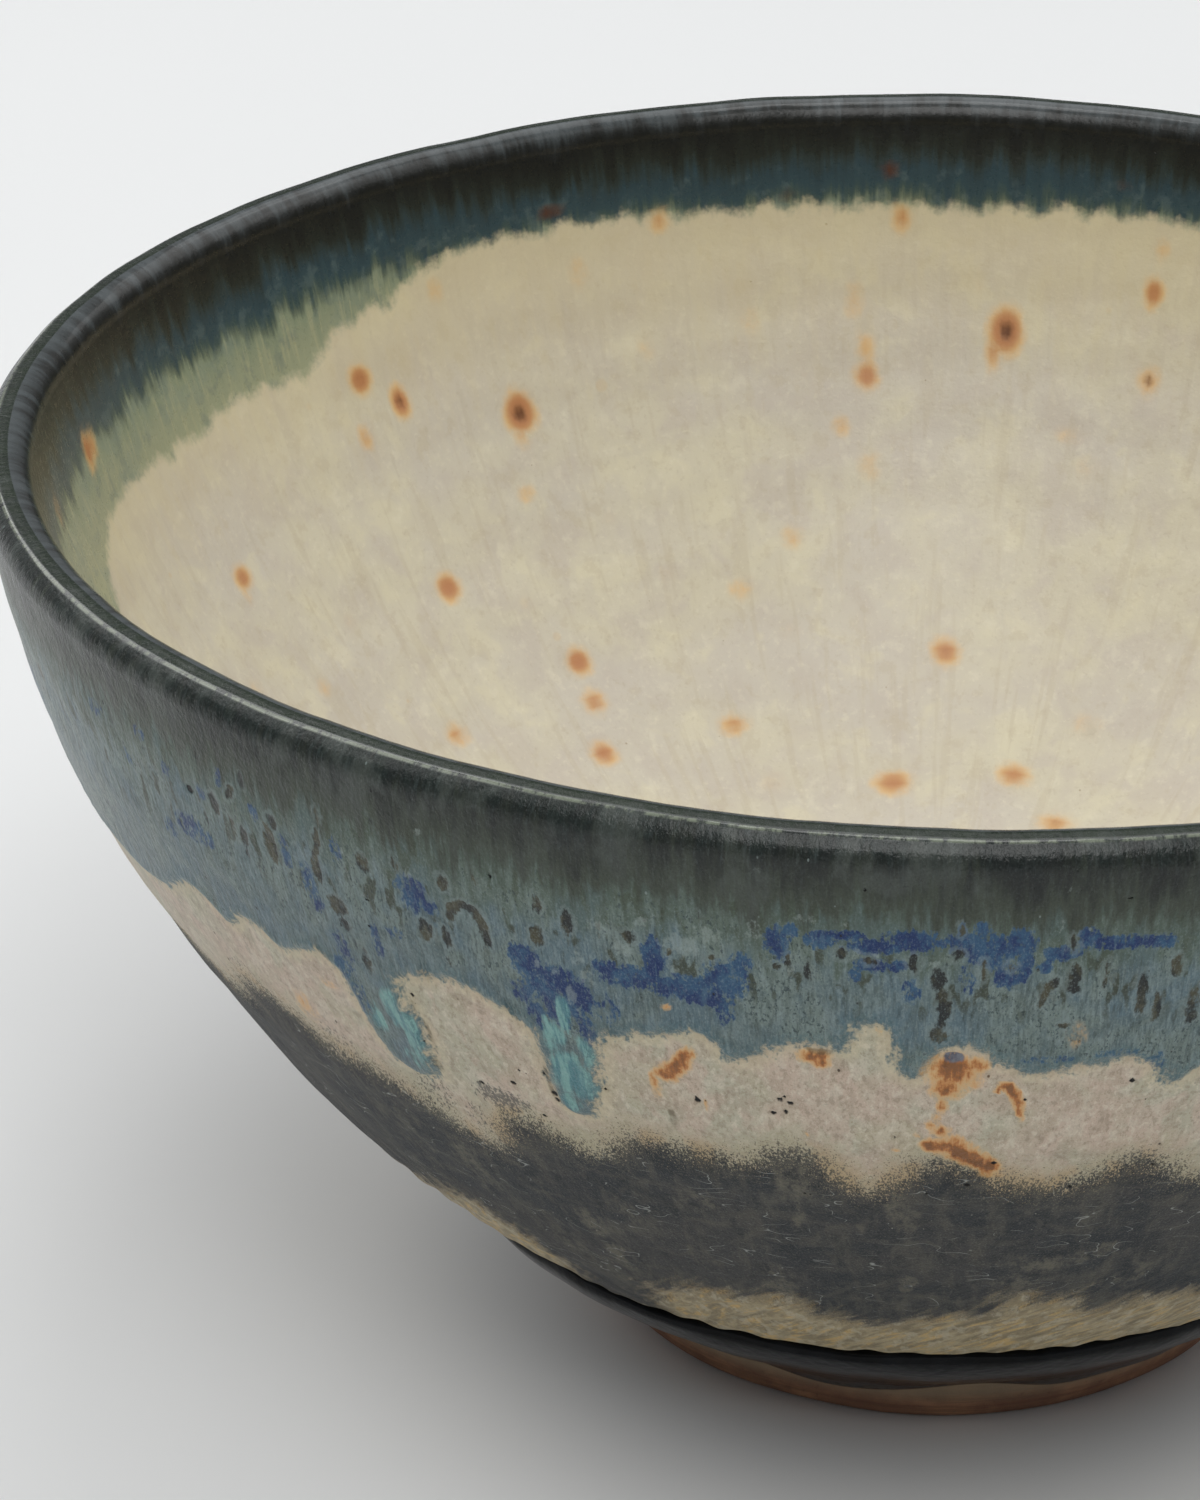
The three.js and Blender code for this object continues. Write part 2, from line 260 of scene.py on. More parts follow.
def edge_distance(theta, w, edge, w_of_z, radius):
    """Signed distance in mm from an edge line given as (theta, z) all round: positive towards the lip."""
    e = np.array(edge, float)
    # smooth the corners of the line
    fine_t = np.interp(np.arange(0, len(e) - 1, 0.34), np.arange(len(e)), e[:, 0])
    fine_z = np.interp(np.arange(0, len(e) - 1, 0.34), np.arange(len(e)), e[:, 1])
    for _ in range(2):
        fine_t[1:-1] = (fine_t[:-2] + 2 * fine_t[1:-1] + fine_t[2:]) / 4
        fine_z[1:-1] = (fine_z[:-2] + 2 * fine_z[1:-1] + fine_z[2:]) / 4
    start = fine_t[0]
    deg = (np.degrees(theta) - start) % 360 + start
    wz = np.abs(w_of_z(fine_z))
    x = np.radians(deg) * radius
    y = -np.abs(w)
    ex, ey = np.radians(fine_t) * radius, -wz
    turn = TAU * radius
    best = np.full(x.shape, 1e9)
    inside = np.zeros(x.shape, bool)
    order = np.argsort(x, axis=None)
    xf, yf = x.ravel()[order], y.ravel()[order]
    bf = best.ravel()[order]
    cross = np.zeros(xf.shape, int)
    for i in range(len(ex) - 1):
        x0, y0, x1, y1 = ex[i], ey[i], ex[i + 1], ey[i + 1]
        for shift in (-turn, 0, turn):
            lo = min(x0, x1) + shift - 6
            hi = max(x0, x1) + shift + 6
            a, b = np.searchsorted(xf, lo), np.searchsorted(xf, hi)
            if a >= b:
                continue
            px, py = xf[a:b], yf[a:b]
            dx, dy = x1 - x0, y1 - y0
            t = np.clip(((px - x0 - shift) * dx + (py - y0) * dy) / (dx * dx + dy * dy + 1e-12), 0, 1)
            d = np.hypot(px - x0 - shift - t * dx, py - y0 - t * dy)
            bf[a:b] = np.minimum(bf[a:b], d)
            if shift == 0:
                # crossings straight down: the segment passes under the point
                spans = (np.minimum(x0, x1) <= px) & (px < np.maximum(x0, x1))
                yy = y0 + (px - x0) * (dy / dx if abs(dx) > 1e-12 else 0)
                cross[a:b] += (spans & (yy < py)).astype(int)
    inside_f = cross % 2 == 1
    out_d = np.empty(xf.shape)
    out_d[order] = np.where(inside_f, 1, -1) * np.minimum(bf, 9.0)
    return out_d.reshape(x.shape)


def dtheta(theta, degrees):
    return (theta - math.radians(degrees) + math.pi) % TAU - math.pi


def blobs(theta, w, r, marks, w_of_z, soft=0.35, slant=True):
    """Sum (clipped to 1) of soft oval marks: (theta, z, half width mm, half height mm[, strength[, lean]])."""
    out = np.zeros(theta.shape)
    wm = np.abs(w)
    for mark in marks:
        t, z, a, b = mark[:4]
        strength = mark[4] if len(mark) > 4 else 1.0
        lean = mark[5] if len(mark) > 5 else 0.0
        wz = abs(float(w_of_z(z)))
        dx = dtheta(theta, t) * r
        reach = max(a, b) * (1 + soft) + abs(lean) * b * 2
        near = np.abs(dx) < reach
        if not near.any():
            continue
        dy = wz - wm[near]
        d = np.hypot((dx[near] - lean * dy) / a, dy / b)
        out[near] = np.maximum(out[near], strength * (1 - smooth(1 - soft, 1 + soft, d)))
    return out


def cones(theta, w, r, pits, w_of_z):
    """Falls evenly from 1 at a pit's middle to 2/3 at its edge and 0 at three radii, so that coarse cells still draw it round."""
    out = np.zeros(theta.shape)
    wm = np.abs(w)
    for t, z, a in pits:
        dx = dtheta(theta, t) * r
        near = np.abs(dx) < 3 * a
        if near.any():
            d = np.hypot(dx[near], abs(float(w_of_z(z))) - wm[near]) / a
            out[near] = np.maximum(out[near], 1 - d / 3)
    return out


def strokes(theta, w, r, lines, w_of_z, soft=0.5):
    """Soft strokes along (theta, z, half width) points."""
    out = np.zeros(theta.shape)
    wm = np.abs(w)
    for line in lines:
        strength = 1.0
        pts = line
        if isinstance(line[0], (int, float)):
            strength, pts = line[0], line[1]
        for (t0, z0, a0), (t1, z1, a1) in zip(pts[:-1], pts[1:]):
            mid = (t0 + t1) / 2
            near = np.abs(dtheta(theta, mid)) * r < abs(math.radians(t1 - t0)) * 62 / 2 + 3 * max(a0, a1)
            if not near.any():
                continue
            rr = r[near]
            px, py = dtheta(theta[near], t0) * rr, abs(float(w_of_z(z0))) - wm[near]
            qx, qy = math.radians(t1 - t0) * rr, abs(float(w_of_z(z0))) - abs(float(w_of_z(z1)))
            t = np.clip((px * qx + py * qy) / (qx * qx + qy * qy + 1e-9), 0, 1)
            d = np.hypot(px - t * qx, py - t * qy) / (a0 + (a1 - a0) * t)
            out[near] = np.maximum(out[near], strength * (1 - smooth(1 - soft, 1 + soft, d)))
    return out


COBALT = [
    (254.0, 52.4, 1.9, 0.8), (257.2, 52.2, 2.6, 0.9), (255.4, 54.0, 0.7, 1.5), (259.3, 53.2, 1.2, 1.3), (252.6, 52.8, 0.8, 0.5),
    (260.3, 54.4, 0.6, 0.9), (258.2, 51.6, 1.4, 0.5), (259.2, 50.8, 0.5, 0.9, 0.7),
    (262.3, 56.4, 0.65, 1.2), (263.0, 57.4, 0.4, 0.5), (264.6, 56.9, 0.8, 0.6), (265.8, 57.4, 1.2, 0.35), (267.2, 56.7, 1.4, 0.55), (269.4, 57.2, 1.6, 0.8),
    (267.3, 55.4, 0.9, 0.5), (266.4, 54.6, 0.4, 0.5, 0.7), (268.6, 55.4, 0.6, 0.4), (272.2, 57.2, 1.2, 0.8), (273.4, 56.6, 1.3, 1.2), (275.0, 57.3, 0.8, 1.0),
    (274.4, 55.0, 0.7, 1.0), (275.2, 55.6, 0.5, 1.2), (273.0, 58.2, 0.4, 0.5), (272.0, 58.2, 0.25, 0.5), (269.4, 53.6, 0.5, 0.9, 0.45), (272.4, 54.8, 0.5, 1.2, 0.35),
    (277.2, 56.5, 1.0, 0.5), (278.5, 57.5, 0.6, 0.7), (280.2, 57.1, 1.8, 0.5), (282.4, 57.0, 0.9, 0.5), (276.4, 55.6, 0.4, 0.4),
    (247.6, 52.2, 0.9, 1.1), (248.6, 50.8, 1.1, 1.3), (249.8, 51.2, 0.8, 0.9), (247.2, 49.6, 0.7, 0.9, 0.8), (249.4, 49.0, 1.1, 1.4), (250.8, 50.2, 0.8, 1.2), (250.9, 47.8, 0.5, 1.4, 0.8), (247.8, 48.2, 0.5, 1.2, 0.7),
    (252.4, 49.6, 0.7, 0.9, 0.5), (241.0, 54.8, 0.9, 1.2, 0.85), (242.0, 54.1, 0.5, 0.5, 0.85), (240.2, 55.3, 0.4, 0.6, 0.7),
    (233.2, 53.0, 0.5, 1.2, 0.75), (233.5, 51.6, 0.45, 0.9, 0.7), (231.7, 54.6, 0.35, 1.1, 0.75), (234.4, 48.2, 0.6, 1.6, 0.5), (237.5, 50.2, 0.35, 1.3, 0.6), (233.9, 46.6, 0.5, 1.4, 0.6),
    (235.9, 56.3, 0.4, 0.9, 0.55), (223.0, 52.8, 1.4, 0.9, 0.6), (224.4, 52.4, 0.7, 0.6, 0.6), (220.6, 51.6, 0.8, 0.8, 0.35), (225.1, 56.1, 0.4, 0.5, 0.7), (229.7, 56.6, 0.35, 0.6, 0.6),
    (221.8, 56.4, 0.5, 0.5, 0.4), (219.6, 58.0, 0.6, 0.5, 0.35), (227.2, 57.8, 0.3, 0.9, 0.45), (239.0, 51.4, 0.7, 0.5, 0.35), (214.6, 57.6, 0.9, 0.6, 0.35), (217.4, 55.4, 0.8, 0.6, 0.3),
    (283.0, 47.8, 0.5, 1.0, 0.5), (281.0, 48.9, 1.4, 0.35, 0.4), (277.0, 48.6, 1.4, 0.3, 0.35), (234.6, 44.6, 0.5, 2.0, 0.45),
]
BROWN = [
    (228.0, 57.3, 0.28, 0.6, 1, 0.4), (226.2, 55.8, 0.42, 0.9), (227.4, 54.6, 0.22, 1.0, 0.8), (228.3, 54.2, 0.35, 0.9, 0.9), (228.2, 52.9, 0.2, 0.8, 0.6),
    (230.6, 54.6, 0.5, 1.5), (231.2, 56.5, 0.35, 0.6), (234.1, 54.3, 0.42, 1.2), (234.6, 56.3, 0.26, 1.1, 1, 0.25), (235.0, 58.2, 0.22, 0.8, 0.7),
    (235.1, 51.9, 0.75, 0.75), (235.3, 50.5, 0.42, 0.6, 0.9), (236.2, 48.1, 0.3, 1.3, 0.8), (237.8, 56.0, 0.55, 0.8, 0.8), (241.4, 52.4, 0.45, 0.9), (242.7, 52.3, 0.3, 0.8, 0.9),
    (243.2, 56.4, 0.38, 0.62), (245.4, 52.9, 0.3, 0.5), (248.7, 54.2, 0.42, 0.85, 0.85), (248.9, 56.4, 0.3, 0.8, 0.8), (240.1, 56.6, 0.25, 0.8, 0.6), (242.6, 50.4, 0.25, 0.5, 0.5),
    (250.6, 55.5, 0.35, 1.0), (254.1, 55.4, 0.42, 0.45), (263.9, 54.4, 0.16, 1.1, 0.9), (265.7, 56.1, 0.34, 0.4), (269.5, 55.7, 0.3, 0.6), (267.2, 55.7, 0.36, 0.3, 0.9),
    (270.8, 54.6, 0.42, 0.9), (271.0, 53.4, 0.34, 0.6), (271.15, 52.4, 0.4, 0.8), (271.0, 51.3, 0.26, 0.5), (270.9, 50.4, 0.55, 0.55), (273.1, 55.3, 0.16, 0.8),
    (271.8, 56.4, 0.34, 0.4), (276.5, 53.6, 0.26, 1.2, 1, 0.25), (276.9, 54.4, 0.2, 0.5), (277.7, 51.2, 0.45, 0.22, 0.9), (278.0, 54.8, 0.3, 1.0), (278.0, 53.9, 0.36, 0.36), (277.8, 57.2, 0.16, 0.7, 0.9),
    (279.7, 54.9, 0.2, 1.1, 0.9), (281.7, 53.4, 0.34, 1.7), (282.6, 52.2, 0.28, 1.3, 0.8), (283.4, 55.1, 0.32, 0.8), (284.6, 52.2, 0.4, 1.6, 0.8), (262.2, 54.7, 0.3, 0.2), (262.9, 55.2, 0.16, 0.6, 0.8),
    (256.4, 54.8, 0.22, 0.3, 0.8), (258.7, 54.8, 0.24, 0.26, 0.8), (274.6, 55.6, 0.22, 0.3, 0.9), (224.9, 54.2, 0.2, 0.9, 0.5), (221.3, 54.6, 0.4, 0.9, 0.35), (266.9, 51.2, 0.14, 0.8, 0.4),
    (216.4, 57.8, 0.35, 0.8, 0.5), (220.0, 57.0, 0.25, 0.5, 0.4), (287.0, 54.0, 0.3, 1.3, 0.9), (288.6, 56.2, 0.3, 0.7, 0.9),
    (271.9, 58.2, 0.15, 0.5, 0.8), (258.0, 57.5, 0.3, 0.5, 0.4), (255.2, 57.0, 0.3, 0.5, 0.4), (252.4, 55.6, 0.2, 0.9, 0.4),
    (245.3, 57.3, 0.3, 0.9, 0.4), (229.2, 58.6, 0.3, 0.7, 0.5), (225.4, 58.8, 0.3, 0.8, 0.45), (239.0, 58.9, 0.3, 0.9, 0.4),
]
ARCH = [[(243.2, 53.9, 0.3), (243.5, 54.7, 0.34), (244.2, 55.15, 0.36), (244.9, 54.9, 0.36), (245.3, 54.0, 0.36), (245.4, 52.6, 0.28)]]
# Pale halo flecks and light marks in the blue zone.
PALE = [
    (252.4, 55.6, 0.7, 0.5, 0.8), (253.7, 54.4, 0.6, 0.6, 0.8), (254.9, 56.6, 0.5, 0.5, 0.6), (257.0, 55.4, 1.2, 0.8, 0.75), (258.6, 56.4, 0.8, 0.7, 0.6), (256.4, 53.6, 0.4, 0.6, 0.5),
    (261.0, 57.0, 0.5, 0.8, 0.5), (263.8, 58.3, 0.7, 0.3, 0.5), (266.4, 56.2, 0.3, 0.4, 0.8), (267.6, 56.1, 0.25, 0.3, 0.8), (270.6, 55.6, 0.4, 0.3, 0.4), (262.9, 54.4, 0.2, 0.35, 0.9),
    (251.4, 51.6, 0.5, 0.8, 0.7), (251.0, 53.2, 0.4, 0.8, 0.6), (248.4, 52.0, 0.25, 0.4, 0.6), (249.5, 51.7, 0.2, 0.3, 0.8), (240.9, 56.3, 0.3, 0.3, 0.9), (222.0, 53.6, 0.25, 0.5, 0.7), (221.2, 52.4, 0.3, 0.4, 0.6),
    (242.0, 59.6, 0.25, 0.3, 0.8), (236.4, 56.5, 0.2, 0.5, 0.7), (249.6, 49.3, 0.2, 1.6, 0.7), (277.1, 58.6, 0.2, 0.9, 0.5), (250.3, 50.4, 0.3, 1.0, 0.8), (265.9, 58.2, 0.25, 0.25, 0.6),
    (261.3, 61.4, 0.35, 0.35, 0.35), (277.3, 61.0, 0.25, 0.3, 0.4), (253.0, 50.6, 0.2, 0.4, 0.6), (246.2, 55.6, 0.3, 0.5, 0.4), (232.6, 55.4, 0.3, 0.5, 0.5), (226.2, 57.2, 0.3, 0.5, 0.4),
]
TURQUOISE = [
    (237.4, 44.6, 0.9, 1.8, 1.0), (238.0, 42.4, 0.7, 1.7, 1.0), (237.2, 40.6, 0.9, 0.9, 0.7), (235.4, 43.4, 0.5, 1.6, 0.55), (248.6, 46.4, 0.9, 1.6, 0.7), (248.9, 43.6, 1.1, 2.4, 1.0), (249.9, 43.0, 0.8, 1.8, 0.8),
    (248.4, 41.0, 0.8, 1.0, 0.8), (250.6, 46.0, 0.6, 1.6, 0.8), (249.6, 48.6, 0.4, 1.6, 0.9),
]
RUST = [
    (271.9, 47.3, 1.35, 1.25), (271.5, 46.0, 0.8, 0.9), (272.9, 47.9, 0.7, 0.7), (271.3, 44.7, 0.28, 0.9, 0.7), (271.0, 43.2, 0.2, 0.6, 0.4), (271.3, 42.2, 0.5, 0.5, 0.75), (270.7, 42.7, 0.3, 0.3, 0.6),
    (264.1, 47.9, 0.85, 0.5), (264.4, 47.5, 0.5, 0.4), (274.5, 38.2, 0.6, 0.4, 0.4), (267.7, 50.2, 0.2, 0.2), (255.2, 44.9, 0.6, 0.5, 0.8), (256.8, 47.0, 0.4, 0.5, 0.45),
    (254.4, 43.6, 0.3, 1.2, 0.45), (257.4, 42.7, 0.12, 0.4, 0.4), (231.6, 44.4, 0.7, 0.4, 0.25), (227.8, 40.6, 0.8, 1.4, 0.3), (275.9, 44.0, 0.16, 0.9, 0.5), (269.9, 41.8, 0.2, 0.2, 0.4),
    (255.9, 50.6, 0.22, 0.2, 0.6), (278.4, 50.4, 0.5, 0.9, 0.25), (286.9, 50.6, 0.5, 1.2, 0.3), (268.6, 40.5, 0.25, 0.2, 0.35), (263.4, 41.2, 0.12, 0.2, 0.7),
]
RUST_LINES = [
    [(256.7, 46.9, 0.4), (256.2, 46.0, 0.5), (255.3, 45.0, 0.62)],
    [(270.9, 41.0, 0.6), (271.8, 41.0, 0.85), (273.0, 40.0, 0.8), (274.4, 38.9, 0.6)],
    [(274.35, 45.8, 0.16), (274.6, 46.35, 0.2), (275.0, 46.3, 0.26), (275.3, 45.6, 0.34), (275.6, 44.6, 0.28), (275.75, 43.6, 0.12)],
]
# Brown-grey stains on the cream.
STAIN = [
    (255.1, 41.6, 0.2, 0.28, 1.0), (255.15, 40.8, 0.3, 0.9, 0.55), (254.7, 40.0, 0.16, 0.6, 0.5), (264.4, 48.4, 0.7, 0.22, 0.9), (271.9, 48.35, 0.5, 0.3, 0.2), (251.1, 42.5, 0.35, 0.25, 0.6),
    (268.6, 42.6, 2.4, 0.14, 0.22), (266.4, 42.8, 1.4, 0.12, 0.2), (247.0, 43.2, 0.3, 1.4, 0.3), (239.1, 43.2, 0.2, 1.5, 0.55), (247.25, 42.0, 0.2, 1.8, 0.7), (238.8, 40.4, 0.35, 0.8, 0.6), (238.6, 45.4, 0.2, 1.0, 0.5),
    (264.7, 43.9, 0.4, 0.12, 0.5),
]
PITS = [
    (223.9, 55.8, 0.3), (224.3, 55.3, 0.12), (237.5, 53.2, 0.15), (237.2, 51.1, 0.13), (231.0, 59.0, 0.12), (246.2, 57.7, 0.18), (280.5, 60.2, 0.14), (239.6, 57.8, 0.1),
    (256.9, 42.95, 0.19), (257.1, 43.4, 0.12), (256.85, 43.3, 0.1), (257.35, 43.1, 0.14), (261.9, 43.9, 0.19), (262.15, 44.2, 0.13), (262.5, 43.7, 0.19), (262.2, 42.9, 0.18), (261.45, 42.7, 0.18),
    (282.0, 46.3, 0.2), (276.0, 45.0, 0.11), (274.6, 39.3, 0.2), (273.1, 37.1, 0.2), (262.75, 35.3, 0.13), (238.8, 46.2, 0.16), (238.85, 45.6, 0.13), (284.6, 38.3, 0.16), (247.0, 42.6, 0.16), (247.35, 41.0, 0.24), (247.4, 40.4, 0.2),
    (241.8, 39.9, 0.22), (244.5, 41.0, 0.2), (245.8, 38.3, 0.18), (261.8, 32.4, 0.15), (254.5, 30.3, 0.26), (238.6, 42.6, 0.14), (245.2, 42.2, 0.12), (244.5, 44.9, 0.1), (268.6, 41.4, 0.13), (268.7, 41.9, 0.1),
    (283.4, 37.7, 0.14), (279.6, 36.8, 0.13), (252.4, 37.4, 0.12), (259.0, 36.6, 0.13), (270.6, 36.2, 0.14), (285.8, 45.6, 0.12), (251.0, 42.5, 0.14), (234.4, 42.0, 0.1), (230.8, 54.6, 0.14), (266.9, 60.6, 0.12),
]
# Pale brushed patches in the dark band.
BRUSH = [
    (245.4, 27.0, 0.9, 2.0, 0.55), (245.8, 23.6, 0.7, 2.6, 0.5), (244.4, 27.6, 0.5, 1.2, 0.3), (279.4, 28.4, 2.6, 1.1, 0.4), (277.8, 26.0, 1.8, 1.2, 0.4), (283.0, 29.4, 2.0, 1.0, 0.35), (259.4, 24.4, 1.2, 2.6, 0.35),
    (269.6, 25.8, 0.7, 0.9, 0.5), (269.3, 24.9, 0.35, 0.5, 0.6), (254.9, 33.0, 1.7, 1.4, 0.3), (268.6, 34.6, 0.7, 2.4, 0.4), (269.6, 32.6, 0.9, 1.6, 0.4), (262.4, 36.4, 1.2, 2.4, 0.45), (262.0, 32.8, 0.5, 2.4, 0.3),
    (266.2, 33.0, 0.3, 3.0, 0.2), (253.8, 26.6, 0.8, 2.2, 0.25), (249.2, 30.0, 0.8, 2.0, 0.2), (236.4, 30.0, 1.4, 3.4, 0.35), (231.0, 31.0, 2.0, 4.0, 0.25), (241.0, 24.0, 1.2, 4.0, 0.2), (273.2, 22.6, 0.8, 1.6, 0.3),
    (240.6, 38.9, 1.6, 1.3, 0.0), (264.6, 28.0, 0.5, 1.4, 0.2), (258.0, 30.2, 0.5, 1.2, 0.2), (286.5, 26.0, 1.4, 1.8, 0.3),
]
# Grey speckled patches on the cream, above the band.
GREY = [(242.9, 38.9, 1.9, 1.25, 0.8), (237.0, 37.4, 1.5, 1.8, 0.4), (240.0, 36.2, 0.8, 1.6, 0.35), (262.6, 39.2, 1.2, 0.8, 0.5), (283.6, 39.4, 1.2, 0.7, 0.5), (271.8, 39.3, 1.4, 0.6, 0.5), (229.6, 38.6, 1.6, 1.2, 0.3), (221.5, 40.6, 2.0, 1.2, 0.3)]
SPOTS_IN = [
    # (theta, z, half width, half height, rust, dark)
    (139.2, 50.2, 0.75, 0.85, 0.9, 0.25), (136.1, 47.9, 0.6, 0.95, 0.9, 0.55), (140.4, 46.5, 0.55, 0.8, 0.5, 0.0), (130.6, 54.4, 0.5, 0.7, 0.35, 0.0), (172.5, 56.8, 0.75, 1.0, 0.95, 0.25),
    (84.9, 47.8, 0.95, 1.35, 1.0, 0.75), (85.8, 46.4, 0.5, 1.2, 0.6, 0.1), (73.6, 51.4, 0.6, 0.95, 0.8, 0.15), (73.4, 54.2, 0.5, 0.8, 0.35, 0.0), (96.9, 49.6, 0.6, 1.1, 0.35, 0.0), (96.1, 46.4, 0.6, 1.4, 0.4, 0.0),
    (96.0, 44.6, 0.75, 0.9, 0.75, 0.1), (105.2, 48.7, 0.6, 0.8, 0.25, 0.0), (93.2, 55.4, 0.6, 0.9, 0.6, 0.15), (111.7, 56.2, 0.6, 0.7, 0.55, 0.15), (118.5, 53.4, 0.6, 1.0, 0.25, 0.0), (113.9, 47.7, 0.55, 0.8, 0.2, 0.0),
    (73.0, 45.5, 0.7, 1.0, 0.5, 0.5), (87.3, 51.0, 0.4, 0.7, 0.2, 0.0), (125.7, 45.0, 0.95, 1.25, 1.0, 0.65), (126.1, 43.6, 0.5, 0.8, 0.5, 0.0), (159.7, 42.6, 0.75, 0.75, 0.75, 0.0), (160.4, 41.4, 0.4, 0.5, 0.3, 0.0), (138.1, 35.9, 0.85, 0.85, 0.85, 0.1),
    (127.2, 39.9, 0.6, 0.6, 0.35, 0.0), (120.2, 37.2, 0.5, 0.5, 0.12, 0.15), (95.9, 38.8, 0.7, 0.9, 0.3, 0.0), (103.3, 34.5, 0.7, 0.7, 0.4, 0.0), (109.0, 31.7, 0.8, 0.8, 0.3, 0.0), (127.9, 29.4, 0.8, 0.8, 0.85, 0.05),
    (128.1, 27.0, 0.8, 0.7, 0.7, 0.0), (129.9, 24.4, 0.8, 0.75, 0.8, 0.0), (145.8, 28.2, 0.8, 0.7, 0.6, 0.05), (113.0, 24.3, 0.9, 0.7, 0.6, 0.05), (88.6, 27.6, 0.9, 0.85, 0.75, 0.25), (94.7, 20.9, 1.1, 0.8, 0.75, 0.1),
    (79.1, 21.5, 1.0, 0.8, 0.7, 0.05), (110.2, 21.3, 0.9, 0.7, 0.15, 0.3), (71.9, 24.4, 0.9, 0.8, 0.25, 0.0), (71.7, 19.7, 1.1, 0.7, 0.6, 0.3), (166.4, 37.0, 0.6, 0.7, 0.25, 0.0), (158.0, 34.4, 0.6, 0.6, 0.3, 0.0),
    (77.0, 39.3, 0.8, 0.8, 0.18, 0.0), (116.0, 33.3, 0.6, 0.6, 0.1, 0.1), (104.6, 29.0, 0.7, 0.7, 0.12, 0.0), (150.4, 36.6, 0.6, 0.7, 0.12, 0.0), (131.0, 33.5, 0.5, 0.5, 0.12, 0.0), (184.0, 57.2, 0.7, 1.0, 0.4, 0.1), (98.3, 41.4, 0.55, 0.65, 0.4, 0.0), (79.0, 41.3, 0.9, 0.6, 0.2, 0.0),
]
DARK_IN = [(120.0, 57.9, 0.8, 0.6, 0.8), (94.0, 58.8, 0.6, 0.8, 0.7), (158.6, 57.9, 0.5, 0.5, 0.5), (101.6, 57.2, 0.5, 0.6, 0.4), (76.8, 58.6, 0.5, 0.7, 0.35)]


def unseen(seed):
    """The same kinds of marks for the side that isn't listed."""
    rng = np.random.RandomState(seed)
    span = lambda n: rng.uniform(291, 565, n)
    cobalt, brown, pale, rust, pits, brush, grey, stain, turq = [], [], [], [], [], [], [], [], []
    t = 292.0
    while t < 563:
        z = rng.choice([52.6, 56.8, 57.0]) + rng.normal(0, 0.5)
        n = rng.randint(3, 8)
        for _ in range(n):
            cobalt.append((t, z + rng.normal(0, 0.6), rng.uniform(0.4, 1.5), rng.uniform(0.4, 1.2), rng.uniform(0.5, 1)))
            t += rng.uniform(0.7, 1.9)
        t += rng.uniform(1.5, 9)
    for a in span(150):
        brown.append((a, rng.uniform(50.5, 58.8), rng.uniform(0.15, 0.6), rng.uniform(0.3, 1.6), rng.uniform(0.4, 1), rng.normal(0, 0.15)))
    for a in span(80):
        pale.append((a, rng.uniform(50, 60), rng.uniform(0.15, 0.7), rng.uniform(0.2, 0.8), rng.uniform(0.3, 0.8)))
    for a in span(26):
        z = rng.uniform(39.5, 47.5)
        big = rng.uniform() < 0.25
        rust.append((a, z, rng.uniform(0.7, 1.2) if big else rng.uniform(0.12, 0.5), rng.uniform(0.6, 1.2) if big else rng.uniform(0.12, 0.6), rng.uniform(0.4, 1)))
        if big:
            rust.append((a + rng.normal(0, 0.3), z - 1.4, 0.3, 1.1, 0.6))
            stain.append((a, z + 0.7, 0.5, 0.3, 0.5))
    for a in span(110):
        pits.append((a, rng.uniform(26, 60), rng.uniform(0.09, 0.22)))
    for a in span(46):
        brush.append((a, rng.uniform(23, 35), rng.uniform(0.4, 2.2), rng.uniform(0.8, 3.0), rng.uniform(0.15, 0.5)))
    for a in span(14):
        grey.append((a, rng.uniform(38.4, 40), rng.uniform(0.8, 2), rng.uniform(0.6, 1.4), rng.uniform(0.3, 0.8)))
    for c, width, drop in [(318, 1.9, 6.6), (352, 1.5, 4.6), (395, 2.2, 7.4), (412, 1.4, 4.4), (470, 1.7, 6.2), (515, 2.0, 5.4)]:
        turq.append((c, 45.5, width * 0.7, 2.6, 0.9))
        turq.append((c + 0.3, 43.6, width * 0.5, 2.0, 0.9))
        stain.append((c + width * 0.95, 43.5, 0.2, 1.6, 0.6))
    return cobalt, brown, pale, rust, pits, brush, grey, stain, turq


_c, _b, _p, _r, _q, _u, _g, _s2, _t = unseen(31)
COBALT, BROWN, PALE, RUST, PITS, BRUSH, GREY, STAIN, TURQUOISE = (
    COBALT + _c, BROWN + _b, PALE + _p, RUST + _r, PITS + _q, BRUSH + _u, GREY + _g, STAIN + _s2, TURQUOISE + _t)


def unseen_inside(seed):
    rng = np.random.RandomState(seed)
    spots = []
    for _ in range(34):
        a = rng.uniform(216, 400)
        z = 17 + 38 * rng.uniform() ** 0.8
        big = rng.uniform()
        size = 0.95 if big > 0.88 else rng.uniform(0.45, 0.85)
        spots.append((a, z, size, size * rng.uniform(0.9, 1.4), 1.0 if big > 0.88 else rng.uniform(0.15, 0.85), 0.6 if big > 0.88 else 0.0))
    return spots


SPOTS_IN = SPOTS_IN + unseen_inside(33)

# ---------------------------------------------------------------------------------------------
# meshes
# ---------------------------------------------------------------------------------------------


def columns(fine_from, fine_to, fine, coarse):
    """Turn angles in degrees: a fine stretch, coarse elsewhere, easing between."""
    a = list(np.arange(fine_from, fine_to, fine))
    t, step = fine_to, fine
    end = fine_from + 360
    rest = []
    while t < end - fine * 0.5:
        rest.append(t)
        left = end - t
        want = min(coarse, fine + (t - fine_to) * 0.12, fine + left * 0.12)
        t += max(want, fine)
    return np.radians(np.array(a + rest))


